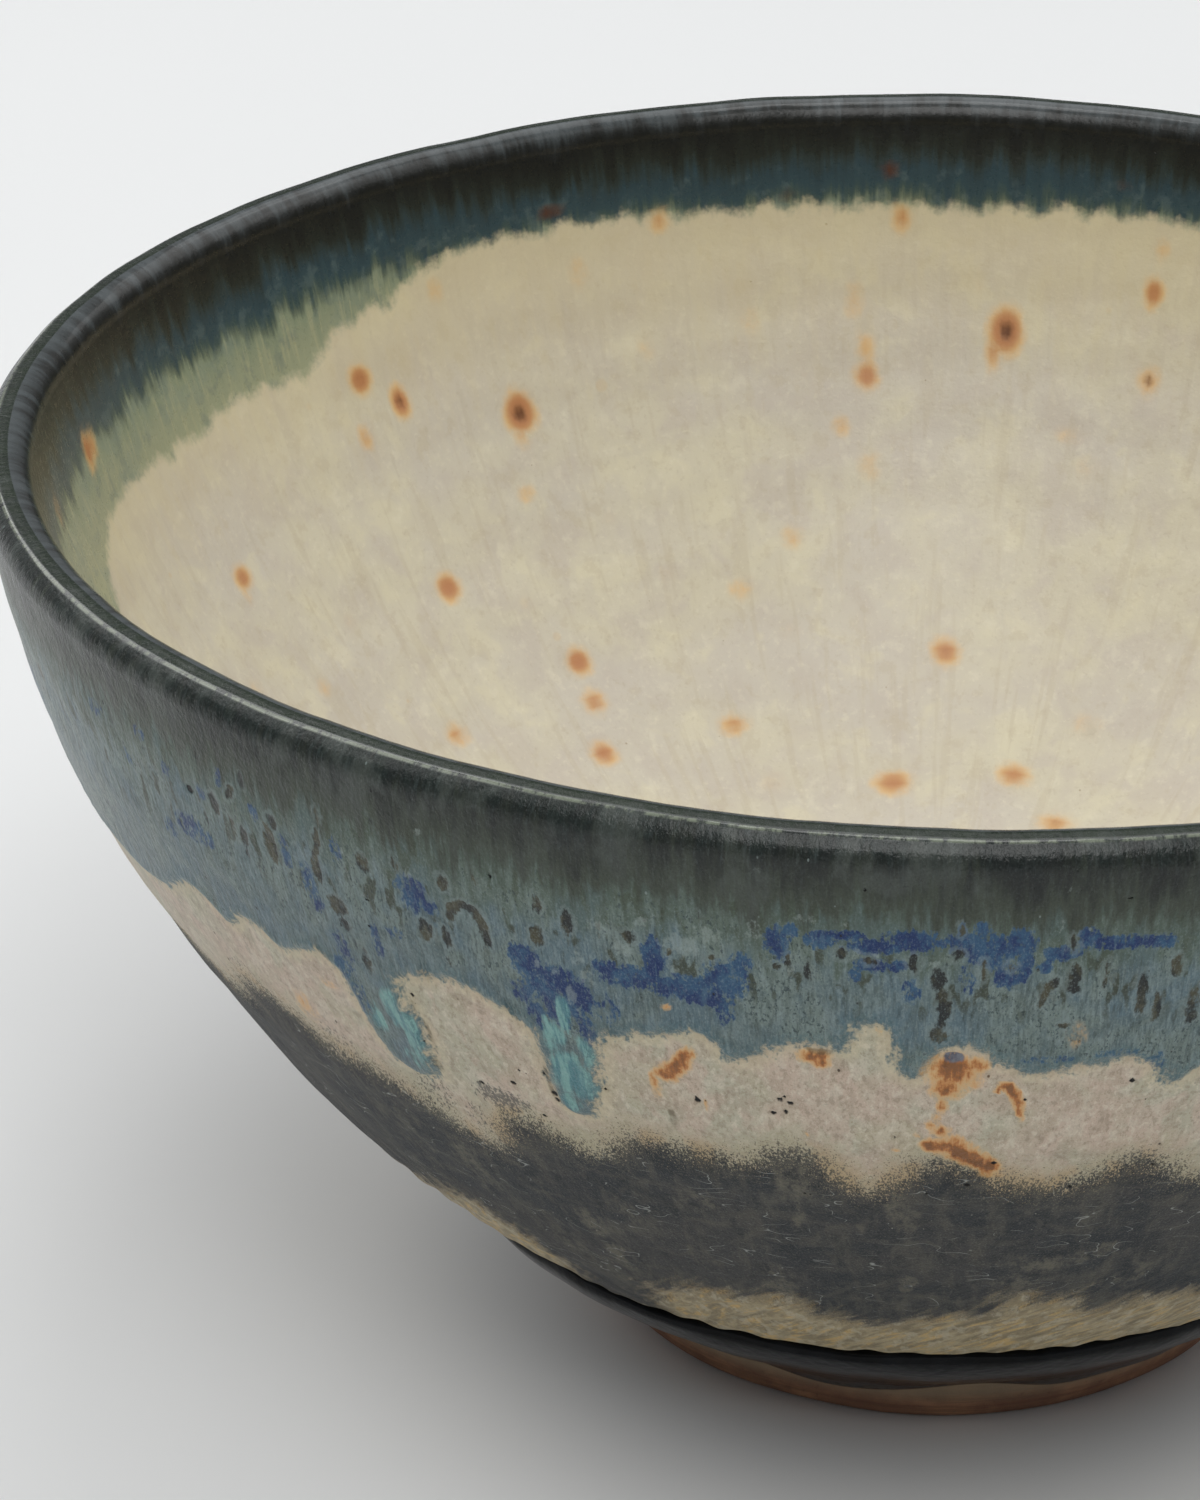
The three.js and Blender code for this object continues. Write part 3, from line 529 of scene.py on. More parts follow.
def make_mesh(name, verts, quads, tris=None):
    me = bpy.data.meshes.new(name)
    nq, nt = len(quads), 0 if tris is None else len(tris)
    me.vertices.add(len(verts))
    me.vertices.foreach_set("co", (verts * MM).astype(np.float32).ravel())
    loops = np.concatenate([quads.ravel(), tris.ravel() if nt else np.zeros(0, int)]).astype(np.int32)
    me.loops.add(len(loops))
    me.loops.foreach_set("vertex_index", loops)
    me.polygons.add(nq + nt)
    starts = np.concatenate([np.arange(nq) * 4, nq * 4 + np.arange(nt) * 3]).astype(np.int32)
    me.polygons.foreach_set("loop_start", starts)
    me.polygons.foreach_set("use_smooth", np.ones(nq + nt, bool))
    me.update(calc_edges=True)
    me.validate()
    ob = bpy.data.objects.new(name, me)
    bpy.context.scene.collection.objects.link(ob)
    return ob


def ring_mesh(name, X, Y, Z, flip=False):
    """A closed band: rows (first index) close on themselves, and so do columns."""
    m, n = X.shape
    verts = np.stack([X.ravel(), Y.ravel(), Z.ravel()], 1)
    i, j = np.meshgrid(np.arange(m), np.arange(n), indexing="ij")
    a = i * n + j
    b = i * n + (j + 1) % n
    c = ((i + 1) % m) * n + (j + 1) % n
    d = ((i + 1) % m) * n + j
    q = np.stack([a, b, c, d], -1).reshape(-1, 4)
    if flip:
        q = q[:, ::-1]
    return make_mesh(name, verts, q)


def dish_mesh(name, X, Y, Z, first, last, flip=False):
    """A closed solid of revolution whose first and last rows each close on a point of the axis."""
    m, n = X.shape
    verts = np.concatenate([np.stack([X.ravel(), Y.ravel(), Z.ravel()], 1), [first, last]])
    i, j = np.meshgrid(np.arange(m - 1), np.arange(n), indexing="ij")
    a = i * n + j
    b = i * n + (j + 1) % n
    q = np.stack([a, b, b + n, a + n], -1).reshape(-1, 4)
    k = np.arange(n)
    t0 = np.stack([np.full(n, m * n), (k + 1) % n, k], 1)
    t1 = np.stack([np.full(n, m * n + 1), (m - 1) * n + k, (m - 1) * n + (k + 1) % n], 1)
    t = np.concatenate([t0, t1])
    if flip:
        q, t = q[:, ::-1], t[:, ::-1]
    return make_mesh(name, verts, q, t)


def volume(ob):
    me = ob.data
    me.calc_loop_triangles()
    co = np.zeros(len(me.vertices) * 3)
    me.vertices.foreach_get("co", co)
    co = co.reshape(-1, 3)
    t = np.zeros(len(me.loop_triangles) * 3, np.int32)
    me.loop_triangles.foreach_get("vertices", t)
    t = t.reshape(-1, 3)
    a, b, c = co[t[:, 0]], co[t[:, 1]], co[t[:, 2]]
    return float(np.einsum("ij,ij->i", a, np.cross(b, c)).sum() / 6)


def face_out(ob):
    if volume(ob) < 0:
        ob.data.flip_normals()
    return ob


def paint(ob, name, values):
    """values: (rows x cols) arrays, up to four, stored as one colour attribute on the points."""
    n = len(ob.data.vertices)
    data = np.zeros((n, 4), np.float32)
    for k, v in enumerate(values):
        flat = np.asarray(v, np.float32).ravel()
        data[:len(flat), k] = flat
        if len(flat) < n:
            data[len(flat):, k] = flat[-1]
    at = ob.data.attributes.new(name, "FLOAT_COLOR", "POINT")
    at.data.foreach_set("color", data.ravel())


GRAIN = waves(41, 60, (20, 160), (0.2, 2.6), 0.2)
THICK = waves(42, 40, (6, 60), (0.05, 0.9), 0.3)
GOUGE = waves(43, 50, (24, 90), (0.2, 1.2), 0.1)


def outside_fields(T, W):
    """All the marks of the outside at the given points."""
    r, _ = on_section(W, 0)
    f = {}
    f["rim"] = edge_distance(T, W, RIM_EDGE, W_OF_Z_OUT, 57.5)
    top = edge_distance(T, W, BAND_TOP, W_OF_Z_OUT, 53.0)
    low = edge_distance(T, W, BAND_LOW, W_OF_Z_OUT, 42.0)
    f["band"] = np.minimum(-top, low)
    f["hem"] = low
    f["cobalt"] = blobs(T, W, r, COBALT, W_OF_Z_OUT, 0.45)
    f["brown"] = np.maximum(blobs(T, W, r, BROWN, W_OF_Z_OUT, 0.4), strokes(T, W, r, ARCH, W_OF_Z_OUT, 0.4))
    halo = [(t[0], t[1], t[2] + 0.34, t[3] + 0.34) + tuple(t[4:]) for t in BROWN]
    f["halo"] = np.maximum(blobs(T, W, r, halo, W_OF_Z_OUT, 0.3),
                           strokes(T, W, r, [[(a, b, c + 0.3) for a, b, c in ARCH[0]]], W_OF_Z_OUT, 0.3))
    f["pale"] = blobs(T, W, r, PALE, W_OF_Z_OUT, 0.55)
    f["turq"] = blobs(T, W, r, TURQUOISE, W_OF_Z_OUT, 0.6)
    f["rust"] = np.maximum(blobs(T, W, r, RUST, W_OF_Z_OUT, 0.85), strokes(T, W, r, RUST_LINES, W_OF_Z_OUT, 0.85))
    f["stain"] = blobs(T, W, r, STAIN, W_OF_Z_OUT, 0.6)
    f["pit"] = cones(T, W, r, PITS, W_OF_Z_OUT)
    f["brush"] = blobs(T, W, r, BRUSH, W_OF_Z_OUT, 0.8)
    f["grey"] = blobs(T, W, r, GREY, W_OF_Z_OUT, 0.6)
    f["eye"] = blobs(T, W, r, [(271.8, 48.5, 0.62, 0.42)], W_OF_Z_OUT, 0.5)
    return f


def inside_fields(T, W):
    r, _ = on_section(W, 0)
    f = {}
    f["rim"] = edge_distance(T, W, RIM_EDGE_IN, W_OF_Z_IN, 57.0)
    f["rust"] = blobs(T, W, r, [(s[0], s[1], s[2] * 1.2, s[3] * 1.15, s[4]) for s in SPOTS_IN], W_OF_Z_IN, 0.9)
    f["dark"] = np.maximum(blobs(T, W, r, [(s[0], s[1], s[2] * 0.55, s[3] * 0.55, s[5]) for s in SPOTS_IN if s[5] > 0], W_OF_Z_IN, 0.8),
                           blobs(T, W, r, DARK_IN, W_OF_Z_IN, 0.8))
    return f


def paint_outside(ob, T, W, f, inner=None):
    """Stores the marks. inner, if given, holds the inside's marks for rows with W < 0."""
    f = dict(f, dark=np.zeros(W.shape))
    pick = lambda k, d=0.0: np.where(W < 0, inner.get(k, np.full(W.shape, d)), f[k]) if inner else f[k]
    paint(ob, "edges", [pick("rim", 9.0), pick("band", -9.0), pick("hem", 9.0), W])
    paint(ob, "marks1", [pick("cobalt"), pick("brown"), pick("halo"), pick("pale")])
    paint(ob, "marks2", [pick("turq"), pick("rust"), pick("stain"), pick("pit")])
    paint(ob, "marks3", [pick("brush"), pick("grey"), pick("eye"), pick("dark")])


# ---- outer coat (cream), from the hem to under the rim dip
def build_outer():
    T1 = columns(213, 289, 0.2, 1.3)
    w_hem, w_top = float(W_OF_Z_OUT(12.35)), float(W_OF_Z_OUT(52.2))
    zz = np.concatenate([np.arange(52.2, 49.5, -0.6), np.arange(49.5, 35.0, -0.25), np.arange(35, 24.5, -0.55), np.arange(24.5, 12.9, -0.28)])
    front = W_OF_Z_OUT(zz)
    edge = np.array([w_hem - 0.25, w_hem, w_hem + 0.18, w_hem + 0.3])
    front = np.concatenate([front, edge[:2]])
    back = np.linspace(w_hem, w_top, 12)
    rows = np.concatenate([front, back])
    T, W = np.meshgrid(T1, rows)
    f = outside_fields(T, W)
    h = np.full(T.shape, -0.10)
    k = len(front)
    relief = 0.035 * THICK(T, W) + 0.012 * GRAIN(T, W)
    hemz = smooth(3.5, -0.5, f["hem"] + 0) * smooth(W_OF_Z_OUT(25.5), W_OF_Z_OUT(21.5), W)
    gouge = np.clip(GOUGE(T * 1.0 + 0.018 * W, W * 0.35), -1.4, 1.4)
    relief += hemz * 0.07 * gouge
    relief += 0.08 * f["rust"] * (1 - f["eye"]) - 0.14 * f["eye"] - 0.12 * smooth(0.5, 0.8, f["pit"])
    h += relief
    # the hem rounds under
    edge_w = w_hem - W
    under = 1 - smooth(0.0, 1.1, edge_w)
    h[:k] -= 0.55 * under[:k] ** 1.5
    h[k:] = -0.75
    h[k:] += 0.0
    X, Y, Z = place(T, W, h)
    ob = face_out(ring_mesh("outer_glaze_coat", X, Y, Z))
    paint_outside(ob, T, W, f)
    return ob


# ---- brushed band
def build_band():
    T1 = columns(211, 289, 0.28, 1.3)
    zz = np.concatenate([np.arange(41.0, 33.0, -0.3), np.arange(33.0, 25.5, -0.5), np.arange(25.5, 12.6, -0.33)])
    front = W_OF_Z_OUT(zz)
    back = np.linspace(front[-1], front[0], 8)
    rows = np.concatenate([front, back])
    T, W = np.meshgrid(T1, rows)
    f = outside_fields(T, W)
    k = len(front)
    relief = 0.035 * THICK(T, W) + 0.012 * GRAIN(T, W)
    hemz = smooth(3.5, -0.5, f["hem"] + 0) * smooth(W_OF_Z_OUT(25.5), W_OF_Z_OUT(21.5), W)
    gouge = np.clip(GOUGE(T * 1.0 + 0.018 * W, W * 0.35), -1.4, 1.4)
    relief += hemz * 0.07 * gouge - 0.10 * smooth(0.5, 0.8, f["pit"])
    h = -0.10 + relief + 0.055 * smooth(-0.4, 0.9, f["band"] + 0.25 * GRAIN(T, W)) - 0.03
    w_hem = float(W_OF_Z_OUT(12.35))
    under = 1 - smooth(0.0, 1.1, w_hem - W)
    h = h - 0.55 * under ** 1.5
    h[k:] = -0.45
    # tuck the top and bottom edges under the coat below
    h[0] -= 0.15
    h[k - 1] -= 0.15
    X, Y, Z = place(T, W, h)
    ob = face_out(ring_mesh("iron_band_coat", X, Y, Z))
    paint_outside(ob, T, W, f)
    return ob


# ---- rim dip
def build_rim():
    T1 = columns(211, 289, 0.24, 1.25)
    # finer again where the dip's inner edge shows
    extra = np.radians(np.arange(122.3, 186, 1.27))
    gap = np.abs((T1[:, None] - extra[None, :] + math.pi) % TAU - math.pi).min(0)
    T1 = np.sort(np.concatenate([T1, (extra + TAU)[gap > math.radians(0.25)]]))
    deg = np.degrees(T1) % 360
    # the coat reaches as low as its edge needs, a little more at the runs
    low_pts = np.array(RIM_EDGE, float)
    reach = np.full(T1.shape, 46.0)
    for i, d in enumerate(deg):
        dd = (low_pts[:, 0] - d + 180) % 360 - 180
        reach[i] = low_pts[np.abs(dd) < 1.3, 1].min() - 0.7 if (np.abs(dd) < 1.3).any() else 45.5
    for _ in range(6):
        reach = np.minimum(reach, (np.roll(reach, 1) + 2 * reach + np.roll(reach, -1)) / 4)
    low_in = np.array(RIM_EDGE_IN, float)
    reach_in = np.full(T1.shape, 55.0)
    for i, d in enumerate(deg):
        dd = (low_in[:, 0] - d + 180) % 360 - 180
        reach_in[i] = low_in[np.abs(dd) < 2.5, 1].min() - 0.8 if (np.abs(dd) < 2.5).any() else 55.3
    for _ in range(6):
        reach_in = np.minimum(reach_in, (np.roll(reach_in, 1) + 2 * reach_in + np.roll(reach_in, -1)) / 4)
    wo = W_OF_Z_OUT(reach)
    wi = W_OF_Z_IN(reach_in)
    # rows: outside from the edge up to 3 mm below the lip, the lip, and the inside down to the edge
    a = np.linspace(0, 1, 84)
    lip = np.linspace(3.2, -3.0, 38)[1:-1]
    b = np.linspace(0, 1, 24)
    W_out = wo[None, :] + (3.2 - wo)[None, :] * a[:, None]
    W_lip = np.repeat(lip[:, None], len(T1), 1)
    W_in = -3.0 + (wi + 3.0)[None, :] * b[:, None]
    back = np.linspace(0, 1, 7)[:, None]
    W_back = wi[None, :] + (wo - wi)[None, :] * back
    W = np.concatenate([W_out, W_lip, W_in, W_back])
    T = np.repeat(T1[None, :], len(W), 0)
    k = len(W) - 7
    fo = outside_fields(T, np.maximum(W, 0.0))
    fi = inside_fields(T, np.minimum(W, 0.0))
    relief = 0.035 * THICK(T, W) + 0.012 * GRAIN(T, W)
    outer = W >= 0
    d = np.where(outer, fo["rim"], fi["rim"])
    bead = 0.07 * np.exp(-((d - 0.55) / 0.5) ** 2)
    runs = np.where(outer, blobs(T, np.maximum(W, 0), on_section(W, 0)[0], [(t[0], t[1], t[2] + 0.6, t[3] + 1.0, t[4]) for t in TURQUOISE], W_OF_Z_OUT, 0.8), 0)
    full = np.where(outer, 0.10, 0.10)
    h = -0.22 + (full + 0.22) * smooth(-0.55, 0.75, d) + bead * smooth(-0.3, 0.2, d) + relief + 0.14 * runs * smooth(-0.2, 0.9, d)
    h = np.where(outer, h, -0.17 + 0.27 * smooth(-0.9, 3.4, d) + relief)
    h -= np.where(outer, 0.10 * smooth(0.5, 0.8, fo["pit"]) + 0.035 * fo["brown"] - 0.02 * fo["halo"], 0.03 * fi["dark"])
    h = np.where(np.abs(W) < 3.2, 0.10 + relief * 0.6, h)
    # a shallow crease that the lip's outer edge leaves, and a softer one inside it
    h = h - 0.04 * np.exp(-((W - 0.36) / 0.24) ** 2) * (0.7 + 0.3 * _lip_fine(T, W)) + 0.055 * np.exp(-((W - 0.76) / 0.2) ** 2)
    h[k:] = -0.5
    X, Y, Z = place(T, W, h)
    ob = face_out(ring_mesh("rim_glaze_coat", X, Y, Z))
    paint_outside(ob, T, W, fo, {"rim": fi["rim"], "rust": fi["rust"], "dark": fi["dark"],
                                 **{key: np.zeros(T.shape) for key in ("cobalt", "brown", "halo", "pale", "turq", "stain", "pit", "brush", "grey", "eye")},
                                 "band": np.full(T.shape, -9.0), "hem": np.full(T.shape, 9.0)})
    # faces inside the lip's top take the inside's finish
    n = len(T1)
    mat = np.zeros(len(ob.data.polygons), np.int32)
    rows = np.arange(len(mat)) // n
    Wm = W[:, 0]
    inner_rows = np.array([Wm[i] < 0 and Wm[(i + 1) % len(Wm)] <= 0 for i in range(len(Wm))])
    mat[inner_rows[np.minimum(rows, len(Wm) - 1)]] = 1
    return ob, mat


# ---- inside coat (liner)
def build_liner():
    T1 = columns(44, 205, 0.42, 1.3)
    w_top = float(W_OF_Z_IN(58.2))
    rows = []
    w = w_top
    # dense where marks are, sparser on the floor
    while w > W_MIN + 3.0:
        rows.append(w)
        depth = w_top - w
        w -= 0.42 if depth < 34 else 0.7
    front = np.array(rows)
    back = np.linspace(W_MIN + 3.0, w_top, 14)
    T, W = np.meshgrid(T1, np.concatenate([front[::-1], back[::-1]]))
    k = len(front)
    f = inside_fields(T, W)
    relief = 0.03 * THICK(T, W) + 0.010 * GRAIN(T, W) - 0.05 * f["dark"] - 0.02 * f["rust"]
    h = -0.10 + relief
    h[k:] = -0.75
    X, Y, Z = place(T, W, h)
    r, z = on_section(np.array([W_MIN]), np.array([-0.10]))
    r2, z2 = on_section(np.array([W_MIN]), np.array([-0.75]))
    ob = face_out(dish_mesh("liner_glaze_coat", X, Y, Z, (0, 0, float(z[0])), (0, 0, float(z2[0]))))
    paint(ob, "edges", [f["rim"], -9 + 0 * W, 9 + 0 * W, W])
    zero = 0 * W
    paint(ob, "marks1", [zero, zero, zero, zero])
    paint(ob, "marks2", [zero, f["rust"], zero, zero])
    paint(ob, "marks3", [zero, zero, zero, f["dark"]])
    return ob


def turned(name, profile, T1, bump, closed=True, ends=None):
    """A turned piece from a fine (r, z) line; bump(T, i, r, z) gives radial and height changes."""
    P = np.array(profile, float)
    T, I = np.meshgrid(T1, np.arange(len(P)))
    R, Zz = P[I, 0], P[I, 1]
    dr, dz = bump(T, I, R, Zz)
    R, Zz = R + dr, Zz + dz
    # the foot was trimmed a touch off centre
    off = (1 - smooth(4.0, 10.5, Zz)) * (R < 34)
    X, Y = R * np.cos(T) + 0.45 * off, R * np.sin(T) + 1.1 * off
    if closed:
        return face_out(ring_mesh(name, X, Y, Zz)), T, R, Zz
    return face_out(dish_mesh(name, X, Y, Zz, *ends)), T, R, Zz


def refine(points, step):
    """Catmull-Rom line through the points, with about that spacing."""
    p = np.array(points, float)
    out = []
    n = len(p)
    for i in range(n - 1):
        p0, p1, p2, p3 = p[max(i - 1, 0)], p[i], p[i + 1], p[min(i + 2, n - 1)]
        m = max(int(np.hypot(*(p2 - p1)) / step), 1)
        for j in range(m):
            t = j / m
            out.append(0.5 * ((2 * p1) + (-p0 + p2) * t + (2 * p0 - 5 * p1 + 4 * p2 - p3) * t * t + (-p0 + 3 * p1 - 3 * p2 + p3) * t ** 3))
    out.append(p[-1])
    return np.array(out)


# ---- bead of black glaze at the foot
def build_roll():
    T1 = columns(205, 330, 0.5, 1.2)
    outer = refine([(32.6, 12.75), (33.35, 12.55), (33.45, 11.9), (32.6, 10.7), (31.0, 9.1), (29.1, 7.4), (27.4, 5.95), (26.2, 4.9), (25.45, 4.15), (24.9, 3.85), (24.2, 4.1)], 0.28)
    inner = refine([(24.2, 4.1), (24.6, 5.6), (25.6, 6.9), (27.6, 8.8), (30.2, 11.2), (31.6, 12.5), (32.6, 12.75)], 1.2)[1:-1]
    P = np.concatenate([outer, inner])
    low = waves(51, 12, (3, 22), (0, 0.01), 0.4)
    high = waves(52, 12, (3, 18), (0, 0.01), 0.4)
    body = waves(53, 24, (5, 40), (0.1, 0.7), 0.3)

    def bump(T, I, R, Z):
        k = smooth(7.0, 4.0, Z)
        u = smooth(11.0, 12.6, Z)
        front = (I < len(outer)).astype(float)
        dz = k * 0.55 * low(T, 0 * T) + u * 0.12 * high(T, 0 * T)
        dr = front * (0.07 * body(T, Z) * smooth(4.2, 6.5, Z)) + k * 0.25 * low(T, 0 * T)
        return dr, dz
    ob, T, R, Z = turned("foot_glaze_bead", P, T1, bump)
    paint(ob, "edges", [Z, R, 0 * Z, 0 * Z])
    return ob


# ---- foot ring
def build_foot():
    T1 = columns(205, 330, 0.5, 1.0)
    prof = refine([(25.1, 6.45), (24.75, 5.4), (23.9, 3.4), (23.1, 1.6), (22.75, 0.75), (22.45, 0.28), (21.95, 0.02), (21.2, 0.0), (19.6, 0.0), (18.35, 0.02),
                   (17.85, 0.3), (17.55, 0.95), (17.3, 2.2), (17.0, 4.2), (16.75, 6.2)], 0.22)
    topside = np.linspace([16.75, 6.45], [25.1, 6.45], 8)[:-1]
    P = np.concatenate([prof, topside])
    rings = waves(61, 14, (0, 1), (2.0, 7.0))
    coarse = waves(62, 20, (2, 12), (0.1, 0.6), 0.4)
    grit = waves(63, 50, (30, 140), (1.0, 7.0), 0.0)

    def bump(T, I, R, Z):
        wall = smooth(0.1, 0.9, Z) * (I < len(prof))
        d = 0.06 * rings(T, Z + 0.4 * np.sin(T)) + 0.10 * coarse(T, Z) + 0.02 * grit(T, Z)
        side = np.where(R > 20, 1, -1)
        flat = (1 - smooth(0.0, 0.35, Z)) * (I < len(prof))
        return wall * d * side + 0.10 * coarse(T, 0 * Z) * side * (1 - wall), flat * (0.03 + 0.025 * grit(T, R) * 1.0).clip(0, 1)
    ob, T, R, Z = turned("foot_ring_clay", P, T1, bump)
    paint(ob, "edges", [Z, R, 0 * Z, 0 * Z])
    return ob


# ---- clay body, seen only in the hollow of the foot
def build_clay():
    T1 = np.radians(np.arange(0, 360, 1.0))
    under = []
    for r in np.arange(0.6, 17.2, 0.28):
        spiral = 0.0
        under.append((r, 5.75 + 0.35 * (1 - math.exp(-(r / 3.2) ** 2)) - 0.0))
    under = np.array(under)
    skirt = refine([(17.2, 6.2), (20, 6.75), (24.4, 6.75), (25.2, 7.2), (27.4, 9.1), (30.4, 11.9), (32.0, 13.2)], 1.0)
    w = np.linspace(float(W_OF_Z_OUT(14.4)), 1.2, 50)
    ro, zo = on_section(w, -0.95)
    wl = np.linspace(0.9, -0.9, 7)
    rl, zl = on_section(wl, -0.95)
    wi = np.linspace(-1.2, W_MIN + 1.5, 70)
    ri, zi = on_section(wi, -0.95)
    P = np.concatenate([under, skirt[1:], np.stack([ro, zo], 1), np.stack([rl, zl], 1), np.stack([ri, zi], 1)])
    grit = waves(71, 60, (6, 60), (1.0, 6.0), 0.0)
    nu = len(under)

    def bump(T, I, R, Z):
        low = (I < nu)
        spiral = 0.09 * np.sin(TAU * (R / 2.1) - T) * smooth(1.5, 4.0, R) * (1 - smooth(14.5, 17.0, R))
        fine = 0.03 * np.sin(TAU * (R / 0.62) - T * 2 + 0.5 * np.sin(3 * T))
        k = np.clip((Z - 20) / 43.65, 0, 1)
        rad = (1 - low) * k * (0.032 * np.cos(2 * T) - 0.389 * np.sin(2 * T))
        up = (1 - low) * k * (-0.142 * np.cos(T) + 0.020 * np.sin(T) - 0.446 * np.cos(2 * T) + 0.110 * np.sin(2 * T))
        return rad, up + low * (spiral + fine + 0.012 * grit(T, R))
    top_r, top_z = on_section(np.array([W_MIN]), np.array([-0.95]))
    ob, T, R, Z = turned("clay_body_thrown", P, T1, bump, closed=False, ends=((0, 0, 5.72), (0, 0, float(top_z[0]))))
    paint(ob, "edges", [Z, R, 0 * Z, 0 * Z])
    return ob


outer = build_outer()
band = build_band()
rim, rim_faces = build_rim()
liner = build_liner()
bead = build_roll()
foot = build_foot()
clay = build_clay()
PIECES = [(outer, "outer_glaze", "outer_glaze"), (band, "iron_band", "iron_band"), (rim, "rim_glaze", "rim_glaze"),
          (liner, "liner_glaze", "liner_glaze"), (bead, "foot_glaze_roll", "black_glaze"), (foot, "foot_ring", "foot_clay"),
          (clay, "clay_body", "clay")]


# ---------------------------------------------------------------------------------------------
# materials
# ---------------------------------------------------------------------------------------------

def lin(rgb, k=1.0):
    out = []
    for v in rgb:
        v = v / 255.0
        v = v / 12.92 if v <= 0.04045 else ((v + 0.055) / 1.055) ** 2.4
        out.append(min(v * k, 0.92))
    return tuple(out) + (1.0,)


class Tree:
    """Short words for building a node tree."""

    def __init__(self, name, contrast=1.0):
        self.contrast = contrast
        self.mat = bpy.data.materials.new(name)
        self.mat.use_nodes = True
        self.t = self.mat.node_tree
        self.t.nodes.clear()
        self.out = self.t.nodes.new("ShaderNodeOutputMaterial")
        self.bsdf = self.t.nodes.new("ShaderNodeBsdfPrincipled")
        self.t.links.new(self.bsdf.outputs[0], self.out.inputs[0])

    def put(self, node, socket, value):
        s = node.inputs[socket]
        if isinstance(value, bpy.types.NodeSocket):
            self.t.links.new(value, s)
        elif value is not None:
            s.default_value = value

    def m(self, op, a, b=None, c=None, clamp=False):
        n = self.t.nodes.new("ShaderNodeMath")
        n.operation = op
        n.use_clamp = clamp
        self.put(n, 0, a)
        if b is not None:
            self.put(n, 1, b)
        if c is not None:
            self.put(n, 2, c)
        return n.outputs[0]

    def add(self, a, b):
        return self.m("ADD", a, b)

    def sub(self, a, b):
        return self.m("SUBTRACT", a, b)

    def mul(self, a, b, clamp=False):
        return self.m("MULTIPLY", a, b, clamp=clamp)

    def mad(self, a, b, c):
        return self.m("MULTIPLY_ADD", a, b, c)

    def step(self, x, lo, hi, a=0.0, b=1.0):
        n = self.t.nodes.new("ShaderNodeMapRange")
        n.interpolation_type = "SMOOTHSTEP"
        self.put(n, "Value", x)
        self.put(n, "From Min", lo)
        self.put(n, "From Max", hi)
        self.put(n, "To Min", a)
        self.put(n, "To Max", b)
        return n.outputs["Result"]

    def mix(self, f, a, b, blend="MIX"):
        n = self.t.nodes.new("ShaderNodeMix")
        n.data_type = "RGBA"
        n.blend_type = blend
        n.clamp_factor = True
        self.put(n, 0, f)
        self.put(n, 6, a)
        self.put(n, 7, b)
        return n.outputs[2]

    def ramp(self, f, stops, mode="LINEAR"):
        n = self.t.nodes.new("ShaderNodeValToRGB")
        n.color_ramp.interpolation = mode
        e = n.color_ramp.elements
        while len(e) > 1:
            e.remove(e[-1])
        e[0].position, e[0].color = stops[0]
        for p, c in stops[1:]:
            x = e.new(p)
            x.color = c
        self.put(n, 0, f)
        return n.outputs[0]

    def attr(self, name):
        n = self.t.nodes.new("ShaderNodeAttribute")
        n.attribute_name = name
        s = self.t.nodes.new("ShaderNodeSeparateColor")
        self.t.links.new(n.outputs["Color"], s.inputs[0])
        return s.outputs[0], s.outputs[1], s.outputs[2], n.outputs["Alpha"]

    def coords(self):
        """Object position in mm."""
        c = self.t.nodes.new("ShaderNodeTexCoord")
        v = self.t.nodes.new("ShaderNodeVectorMath")
        v.operation = "SCALE"
        self.t.links.new(c.outputs["Object"], v.inputs[0])
        v.inputs["Scale"].default_value = 1000.0
        return v.outputs[0]

    def xyz(self, v):
        s = self.t.nodes.new("ShaderNodeSeparateXYZ")
        self.t.links.new(v, s.inputs[0])
        return s.outputs

    def vec(self, x, y, z):
        n = self.t.nodes.new("ShaderNodeCombineXYZ")
        self.put(n, 0, x)
        self.put(n, 1, y)
        self.put(n, 2, z)
        return n.outputs[0]

    def wrap(self, P, s, radius=58.0):
        """Position on a straight cylinder: round the bowl by its angle, along it by s. No seam."""
        x, y, _ = self.xyz(P)
        r = self.m("SQRT", self.add(self.mul(x, x), self.mul(y, y)))
        r = self.m("MAXIMUM", r, 0.001)
        k = self.m("DIVIDE", radius, r)
        return self.mul(x, k), self.mul(y, k), s

    def scaled(self, xyz, a, b):
        return self.vec(self.mul(xyz[0], a), self.mul(xyz[1], a), self.mul(xyz[2], b))

    def noise(self, v, scale=1.0, detail=2.0, rough=0.5, distort=0.0, raw=False):
        n = self.t.nodes.new("ShaderNodeTexNoise")
        n.noise_dimensions = "3D"
        self.put(n, "Vector", v)
        self.put(n, "Scale", scale)
        self.put(n, "Detail", detail)
        self.put(n, "Roughness", rough)
        self.put(n, "Distortion", distort)
        if self.contrast == 1.0 or raw:
            return n.outputs["Fac"]
        return self.mad(n.outputs["Fac"], self.contrast, 0.5 - 0.5 * self.contrast)

    def cells(self, v, scale=1.0, what="Distance", feature="F1", randomness=1.0):
        n = self.t.nodes.new("ShaderNodeTexVoronoi")
        n.feature = feature
        self.put(n, "Vector", v)
        self.put(n, "Scale", scale)
        self.put(n, "Randomness", randomness)
        return n.outputs[what]

